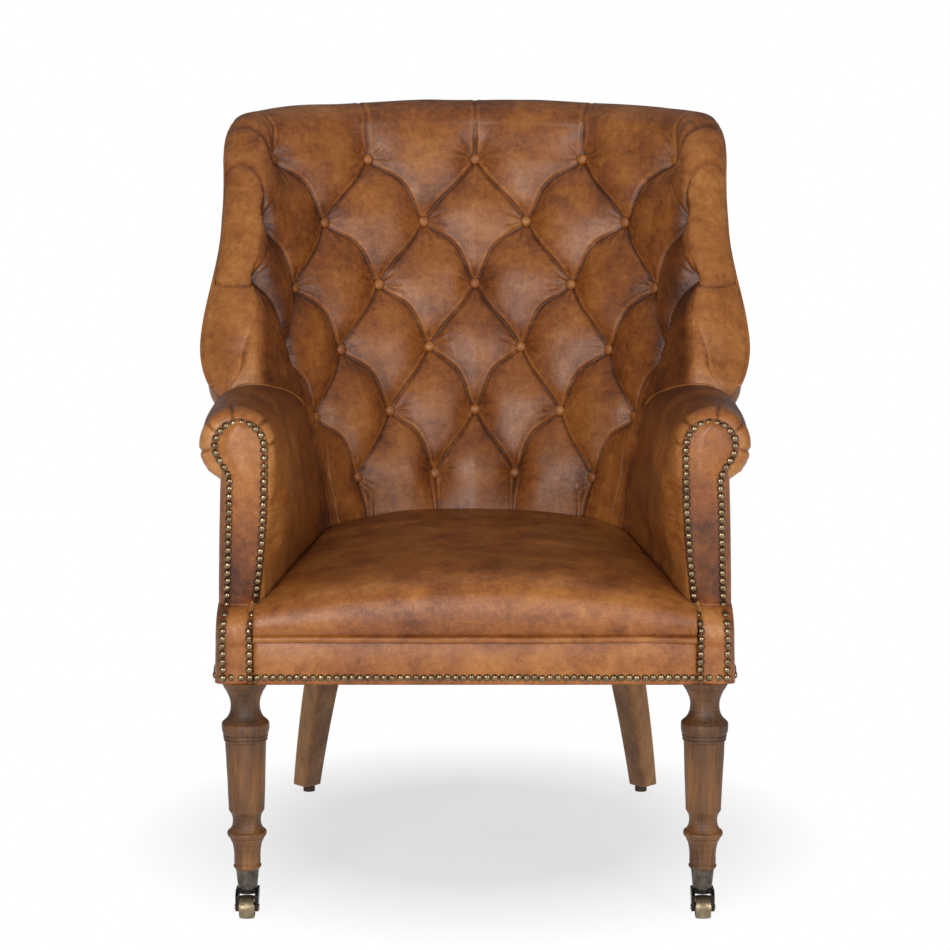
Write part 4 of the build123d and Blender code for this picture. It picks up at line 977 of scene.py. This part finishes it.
def wing_wall(k, z):
    """Depth of the wing's outside, rounded in at the nose and under it."""
    middle = wall(k) / 2
    under = np.clip((652.0 - z) / 36.0, 0.0, 1.0)
    under = 34.0 * (1 - np.sqrt(1 - under ** 2)) * smooth(k, 4.7, 5.3)
    return middle + (wall(k) - middle) * nose(k) - under


def roll_depth(points):
    """Share of the roll's half width that points of the right side are inside the arm's roll."""
    at, *sizes = np.array(roll_sections).T
    centre, width, height = (np.interp(points[..., 1], at, row) for row in sizes)
    return 1 - np.hypot((points[..., 0] - centre) / width, (points[..., 2] - scroll_z) / height)


def make_outside_wing(side, word):
    """Outside leather of a wing, down to the arm's roll."""
    k = np.linspace(wing_column, wing_end - 0.02, 110)[:, None]
    t = np.linspace(0, 1, 80)[None]
    top = edge_height(k) - roll_drop
    trial = top - 4.0 - (top - 4.0 - scroll_z + 14.0) * np.linspace(0, 1, 160)[None]
    inside = roll_depth(barrel(k, trial, wing_wall(k, trial))) > 0.1
    inside[:, -1] = True
    low = np.take_along_axis(trial, np.argmax(inside, 1)[:, None], 1)
    even_out(low, 6)
    z = low + (top - low) * t
    edge = np.minimum((k - wing_column) * column_pitch, (1 - t) * (top - low))
    puff = 2.4 * smooth(edge, 0.0, 40.0) + 0.8 * noise(k + 20, z / 60.0, 83 + side)
    grid = barrel(k, z, wing_wall(k, z) + puff - 1.0) * (side, 1, 1)
    return panel(f"wing_outside_{word}", grid, side < 0, fold=np.exp(-edge / 5.0), wear=0.55)


def outside_line(z, t):
    """x, y and distance to the ends along the outside arm, for heights z and shares t of its length."""
    lean = (z - frame_height) / (scroll_z - frame_height)
    front_x = leg_x + 25.0 + 12.5 * np.maximum(0.0, 1 - lean) ** 0.8
    rear_x, rear_y, _ = np.moveaxis(barrel(wing_column, z, wall(wing_column, z)), -1, 0)
    start = facing_depth(z) + panel_step + panel_corner
    behind = 38.0
    y = start + (rear_y - start) * t
    share = np.clip((y - behind) / (rear_y - behind), 0, 1)
    edge = np.minimum(y - start, rear_y - y)
    x = front_x + (rear_x - front_x) * share + 4.0 * smooth(edge, 0.0, 60.0)
    return x, y, edge


def make_outside_arm(side, word):
    """Panel under the scroll, from the facing's edge round the corner and back to the barrel."""
    heights, _, edge_x = facing_edges(3.0, 120)
    shown = heights < scroll_z - 30.0
    z = heights[shown][None]
    edge_x = edge_x[shown][None]
    turn = np.linspace(0, pi / 2, 12)[:, None]
    t = np.linspace(0, 1, 100)[1:, None]
    side_z = frame_height + (z - frame_height) * (1 + 0.115 * smooth(t, 0.3, 1.0))
    side_x, side_y, edge = outside_line(side_z, t)
    corner_x = edge_x + (side_x[:1] - edge_x) * np.sin(turn)
    corner_y = facing_depth(z) + panel_step + panel_corner * (1 - np.cos(turn))
    lump = noise(side_y / 70.0, z / 70.0, 85 + side) * smooth(edge, 0.0, 30.0)
    x = np.concatenate([corner_x, side_x + lump])
    y = np.concatenate([corner_y, side_y])
    side_fold = np.exp(-np.maximum(edge, 0) / 5.0) * (t > 0.5)
    fold = np.concatenate([0.5 * np.cos(turn) + 0 * corner_x, side_fold])
    z = np.concatenate([z + 0 * corner_x, side_z])
    return panel(f"arm_outside_{word}", xyz(side * x, y, z), side > 0, fold=fold, wear=0.6)


def make_edge_welt():
    k = np.linspace(-wing_end + 0.1, wing_end - 0.1, 420)
    middle = wall(k) / 2
    n = middle + (wall(k) + 0.5 - middle) * nose(k)
    return tube("edge_welt", barrel(k, edge_height(k) - roll_drop, n), 3.0)


def unbarrel(points):
    """Column and depth of points of the right wing."""
    k = np.linspace(4.3, wing_end, 270)
    line = barrel(k, points[:, 2:], 0.0)
    nearest = np.argmin(np.hypot(line[..., 0] - points[:, :1], line[..., 1] - points[:, 1:2]), 1)
    _, _, out_x, out_y = plan(k[nearest])
    off_x, off_y, _ = (points - line[np.arange(len(points)), nearest]).T
    return k[nearest], off_x * out_x + off_y * out_y


def make_wing_seam(side, word):
    """Cord on the arm's roll where the front of the wing is sewn to it."""
    sections = arm_form()
    line = []
    for i in range(62, 106, 2):
        y = np.arange(215.0, 380.0, 2.0)[:, None]
        x, z = (spline(sections[:, i:i + 1, 1], sections[:, i:i + 1, axis], y) for axis in (0, 2))
        points = np.concatenate([x, y, z], 1)
        k, n = unbarrel(points)
        half = wall(k) / 2
        inside = (np.abs(n - half) < half * nose(k)) & (k < wing_end - 0.03)
        if inside.any():
            line.append(points[np.argmax(inside)])
    line = np.array(line)
    even_out(line, 3)
    return tube(f"wing_seam_{word}", line * (side, 1, 1) + (0, 0, 1.0), 2.2)


def make_back_welt(side, word):
    """Cord between the outside back and the outside arm and wing."""
    z = np.linspace(frame_height + 2, edge_height(wing_column) - roll_drop, 120)
    return tube(f"back_welt_{word}", barrel(side * wing_column, z, wall(wing_column, z) + 0.6), 2.8, wear=0.8)


def make_side_nails():
    """Nails along the bottom edge of the sides and the back."""
    z = nail_row
    x, y, _ = outside_line(np.array([[z]]), np.linspace(0, 0.985, 60)[:, None])
    k = np.linspace(wing_column - 0.08, 0.0, 60)
    rear = barrel(k, z, wall(k, z) + 1.5)[:, :2]
    half = np.concatenate([np.concatenate([x, y], 1), rear])
    line = np.concatenate([half, (half * (-1, 1))[::-1][1:]])
    places = spaced(line, nail_pitch)
    along = np.gradient(places, axis=0)
    outs = np.stack([along[:, 1], -along[:, 0]], -1)
    inside_y = 100.0
    outwards = (outs * (places - (0.0, inside_y))).sum(1) >= 0
    outs = np.pad(outs * np.where(outwards, 1.0, -1.0)[:, None], ((0, 0), (0, 1)))
    points = np.pad(places, ((0, 0), (0, 1)), constant_values=z)
    return scatter("nails_sides", nail_shape, nail_places(points, outs, 75))


finish_piece(make_outside_back(), "leather", "outside_back")
finish_piece(make_edge_welt(), "leather")
finish_piece(make_side_nails(), "nail_brass")
for side, word in SIDES:
    finish_piece(make_outside_wing(side, word), "leather", f"outside_wing_{word}")
    finish_piece(make_outside_arm(side, word), "leather", f"outside_arm_{word}")
    finish_piece(make_wing_seam(side, word), "leather")
    finish_piece(make_back_welt(side, word), "leather")


# Legs
cup_top = 64.0
leg_profile = (             # radius and height above the cup, with the fine grooves of the lathe
    (16.2, 0.4), (16.6, 1.2), (17.9, 2.6), (18.2, 4.2), (17.4, 6), (16.7, 7), (16.9, 8.2), (17.2, 10),
    (17, 18), (17.5, 26), (19, 34), (21.2, 39), (22.2, 41.2), (21.9, 42), (23.2, 42.8), (24.8, 44.6),
    (25.6, 47), (25.3, 49.4), (24, 51), (22.6, 51.6), (22.2, 52.4), (20.6, 54.5), (19, 58), (18.2, 63),
    (18.3, 68), (19.6, 73), (21.8, 76.6), (22.9, 78.2), (23.1, 80), (23, 83))
leg_crown = (               # radius and distance below the frame, from the shaft upwards
    (26.4, 80), (26.9, 78.6), (28, 77.8), (28.3, 76.2), (27.4, 75), (27.3, 74.4), (28.6, 73.6), (29, 72),
    (28.2, 70.4), (28.1, 69.6), (29.4, 68.4), (30.4, 64), (30.6, 59), (30.2, 55.4), (29.2, 53.8),
    (28.4, 53.4), (27.6, 52.4), (24, 49), (21.2, 44.5), (19.4, 39), (18.8, 33), (19, 28), (20, 23),
    (21.8, 18), (23.8, 13.6), (25, 11.2), (25.8, 10.6), (25.8, 9.6), (26.8, 8.8), (28.2, 6), (29.6, 3),
    (30.3, 0.4))
crack_turn = 1.5 * pi + 0.25    # where a crack runs along the shaft of the right front leg
foot_shift = 3.0            # how far a rear foot stands outside its solid
leg_bow = 3.6               # and how far the rear leg bows outwards
eased_edge = 2.2            # of the rear legs


def make_leg(side, word):
    """Turned front leg with its grooves and a slightly uneven surface."""
    low = np.array(leg_profile) + (0, cup_top)
    high = np.array(leg_crown) * (1, -1) + (0, frame_height)
    profile = np.concatenate([low, np.linspace(low[-1], high[0], 40)[1:-1], high])
    steps = np.arange(3 * len(profile) - 2) / 3
    r, z = (np.interp(steps, np.arange(len(profile)), column)[:, None] for column in profile.T)
    turn = (np.arange(72) * 2 * pi / 72)[None]
    bumps = 0.22 * noise(np.cos(turn) * 3 + 9, np.sin(turn) * 3 + z / 16.0, 91 + side)
    crack = bell((turn - crack_turn - 0.05 * noise(z / 9.0, turn * 0 + 4, 93)) * 25.0, 0.7) * (side > 0)
    crack = crack * smooth(z, 160.0, 175.0) * (1 - smooth(z, 195.0, 212.0))
    radius = r + bumps - 0.9 * crack
    grid = xyz(side * leg_x + radius * np.cos(turn), radius * np.sin(turn), z)
    # Painted shade: darker in the grooves and towards the top of the leg, under the frame.
    groove = np.gradient(np.gradient(r, axis=0), axis=0)
    dark = np.clip(groove * 1.4, 0, 1) + 0.12 + 0.22 * smooth(z, 228.0, 245.0)
    return tube_grid(f"turned_leg_{word}", grid, fold=dark + 0 * radius)


def make_rear_leg(side, word):
    """Sabre leg with its edges eased and a slight bow."""
    source = frame["nodes"][f"rear_leg_{word}"]
    shape = bmesh.new()
    shape.from_mesh(source.data)
    bmesh.ops.transform(shape, matrix=source.matrix_world, verts=shape.verts)
    bmesh.ops.remove_doubles(shape, verts=shape.verts, dist=0.02 * MM)
    bmesh.ops.dissolve_limit(shape, angle_limit=radians(1.0), verts=shape.verts, edges=shape.edges)
    sharp = [e for e in shape.edges if len(e.link_faces) == 2 and e.calc_face_angle() > radians(40)]
    bmesh.ops.bevel(shape, geom=sharp, offset=eased_edge * MM, segments=3, profile=0.5, affect="EDGES")
    for height in np.linspace(20.0, frame_height - 20.0, 16):
        whole = [*shape.verts, *shape.edges, *shape.faces]
        bmesh.ops.bisect_plane(shape, geom=whole, plane_co=(0, 0, height * MM), plane_no=(0, 0, 1))
    for point in shape.verts:
        t = min(1.0, max(0.0, point.co.z / MM / frame_height))
        point.co.x += side * (foot_shift + 4 * leg_bow * t) * (1 - t) * MM
    # Painted light: lighter on the outer faces, darker on the faces turned towards the chair's middle.
    broad = [max(point.link_faces, key=lambda face: face.calc_area()) for point in shape.verts]
    tone = np.array([-0.35 * side * face.normal.x - 0.2 for face in broad], np.float32)
    mesh = bpy.data.meshes.new(f"sabre_leg_{word}")
    shape.to_mesh(mesh)
    shape.free()
    mesh.shade_smooth()
    mesh.attributes.new("fold", "FLOAT", "POINT").data.foreach_set("value", tone)
    obj = add_object(f"sabre_leg_{word}", mesh)
    obj.modifiers.new("normals", "WEIGHTED_NORMAL").keep_sharp = True
    return obj


for side, word in SIDES:
    finish_piece(make_leg(side, word), "leg_wood", f"front_leg_{word}")
    finish_piece(make_rear_leg(side, word), "leg_wood", f"rear_leg_{word}")


# Floor, light and camera
WHITE = (1.0, 1.0, 1.0, 1.0)
floor_half = 6.0                    # metres
shadow_middle = (0.0, 0.05, 0.0)    # of the soft shadow under the chair, metres


def make_floor():
    """Pale floor that takes the chair's shadow and turns plain white further out."""
    corners = [(-floor_half, -floor_half, 0), (floor_half, -floor_half, 0), (floor_half, floor_half, 0),
               (-floor_half, floor_half, 0)]
    mesh = bpy.data.meshes.new("floor")
    mesh.from_pydata(corners, [], [(0, 1, 2, 3)])
    s = Shader("pale_floor")
    s.set(Base_Color=(0.88, 0.88, 0.88, 1.0), Roughness=0.9, Specular_IOR_Level=0.1)
    bright = s.add("Emission", "Emission", {"Color": WHITE, "Strength": 1.0})
    far = s.add("VectorMath", "Value", {0: s.place, 1: shadow_middle}, operation="DISTANCE")
    camera_ray, glossy_ray, clear_ray = (
        s.add("LightPath", f"Is {kind} Ray", {}) for kind in ("Camera", "Glossy", "Transmission"))
    seen = s.math("MAXIMUM", camera_ray, s.math("MAXIMUM", glossy_ray, clear_ray))
    amount = s.math("MULTIPLY", s.spread(far, 0.24, 0.52, 0.58, 1.0), seen)
    mix = s.add("MixShader", "Shader", {"Fac": amount, 1: s.surface.outputs["BSDF"], 2: bright})
    s.fill(s.tree.nodes["Material Output"], {"Surface": mix})
    mesh.materials.append(s.material)
    add_object("floor", mesh)


def make_world():
    """White to the camera, and a dimmer white to the chair."""
    world = bpy.data.worlds.new("studio")
    bpy.context.scene.world = world
    world.use_nodes = True
    tree = world.node_tree
    path = tree.nodes.new("ShaderNodeLightPath")
    mix = tree.nodes.new("ShaderNodeMixShader")
    tree.links.new(path.outputs["Is Camera Ray"], mix.inputs["Fac"])
    lights = (tree.nodes["Background"], 0.27), (tree.nodes.new("ShaderNodeBackground"), 1.0)
    for number, (light, strength) in enumerate(lights, 1):
        light.inputs["Color"].default_value = WHITE
        light.inputs["Strength"].default_value = strength
        tree.links.new(light.outputs["Background"], mix.inputs[number])
    tree.links.new(mix.outputs["Shader"], tree.nodes["World Output"].inputs["Surface"])


def lamp(name, place, target, size, power):
    light = bpy.data.lights.new(name, "AREA")
    light.shape = "RECTANGLE"
    light.size, light.size_y = size
    light.energy = power
    obj = add_object(name, light)
    obj.location = place
    obj.rotation_euler = (Vector(target) - Vector(place)).to_track_quat("-Z", "Y").to_euler()


make_floor()
make_world()
lamp("key", (-0.9, -3.3, 1.25), (0.0, 0.0, 0.62), (1.5, 1.3), 74.0)
lamp("fill", (1.9, -2.9, 1.15), (0.0, 0.0, 0.6), (1.3, 1.5), 44.0)
lamp("top", (0.0, 0.1, 3.0), (0.0, 0.0, 0.5), (2.2, 1.8), 4.0)

camera_distance = 3.0      # in front of the front legs' axis, metres
camera_height = 1.0
camera_pitch = 8.0         # degrees downwards
focal_pixels = 2391.0      # for an image as wide as the photo
photo_width = 950.0
camera = bpy.data.cameras.new("camera")
camera.sensor_width = 36.0
camera.lens = focal_pixels * camera.sensor_width / photo_width
camera.sensor_fit = "HORIZONTAL"
eye = add_object("camera", camera)
eye.location = (0.0, shift_y - camera_distance, camera_height)
eye.rotation_euler = (radians(90.0 - camera_pitch), 0.0, 0.0)
bpy.context.scene.camera = eye
bpy.context.scene.view_settings.view_transform = "Standard"
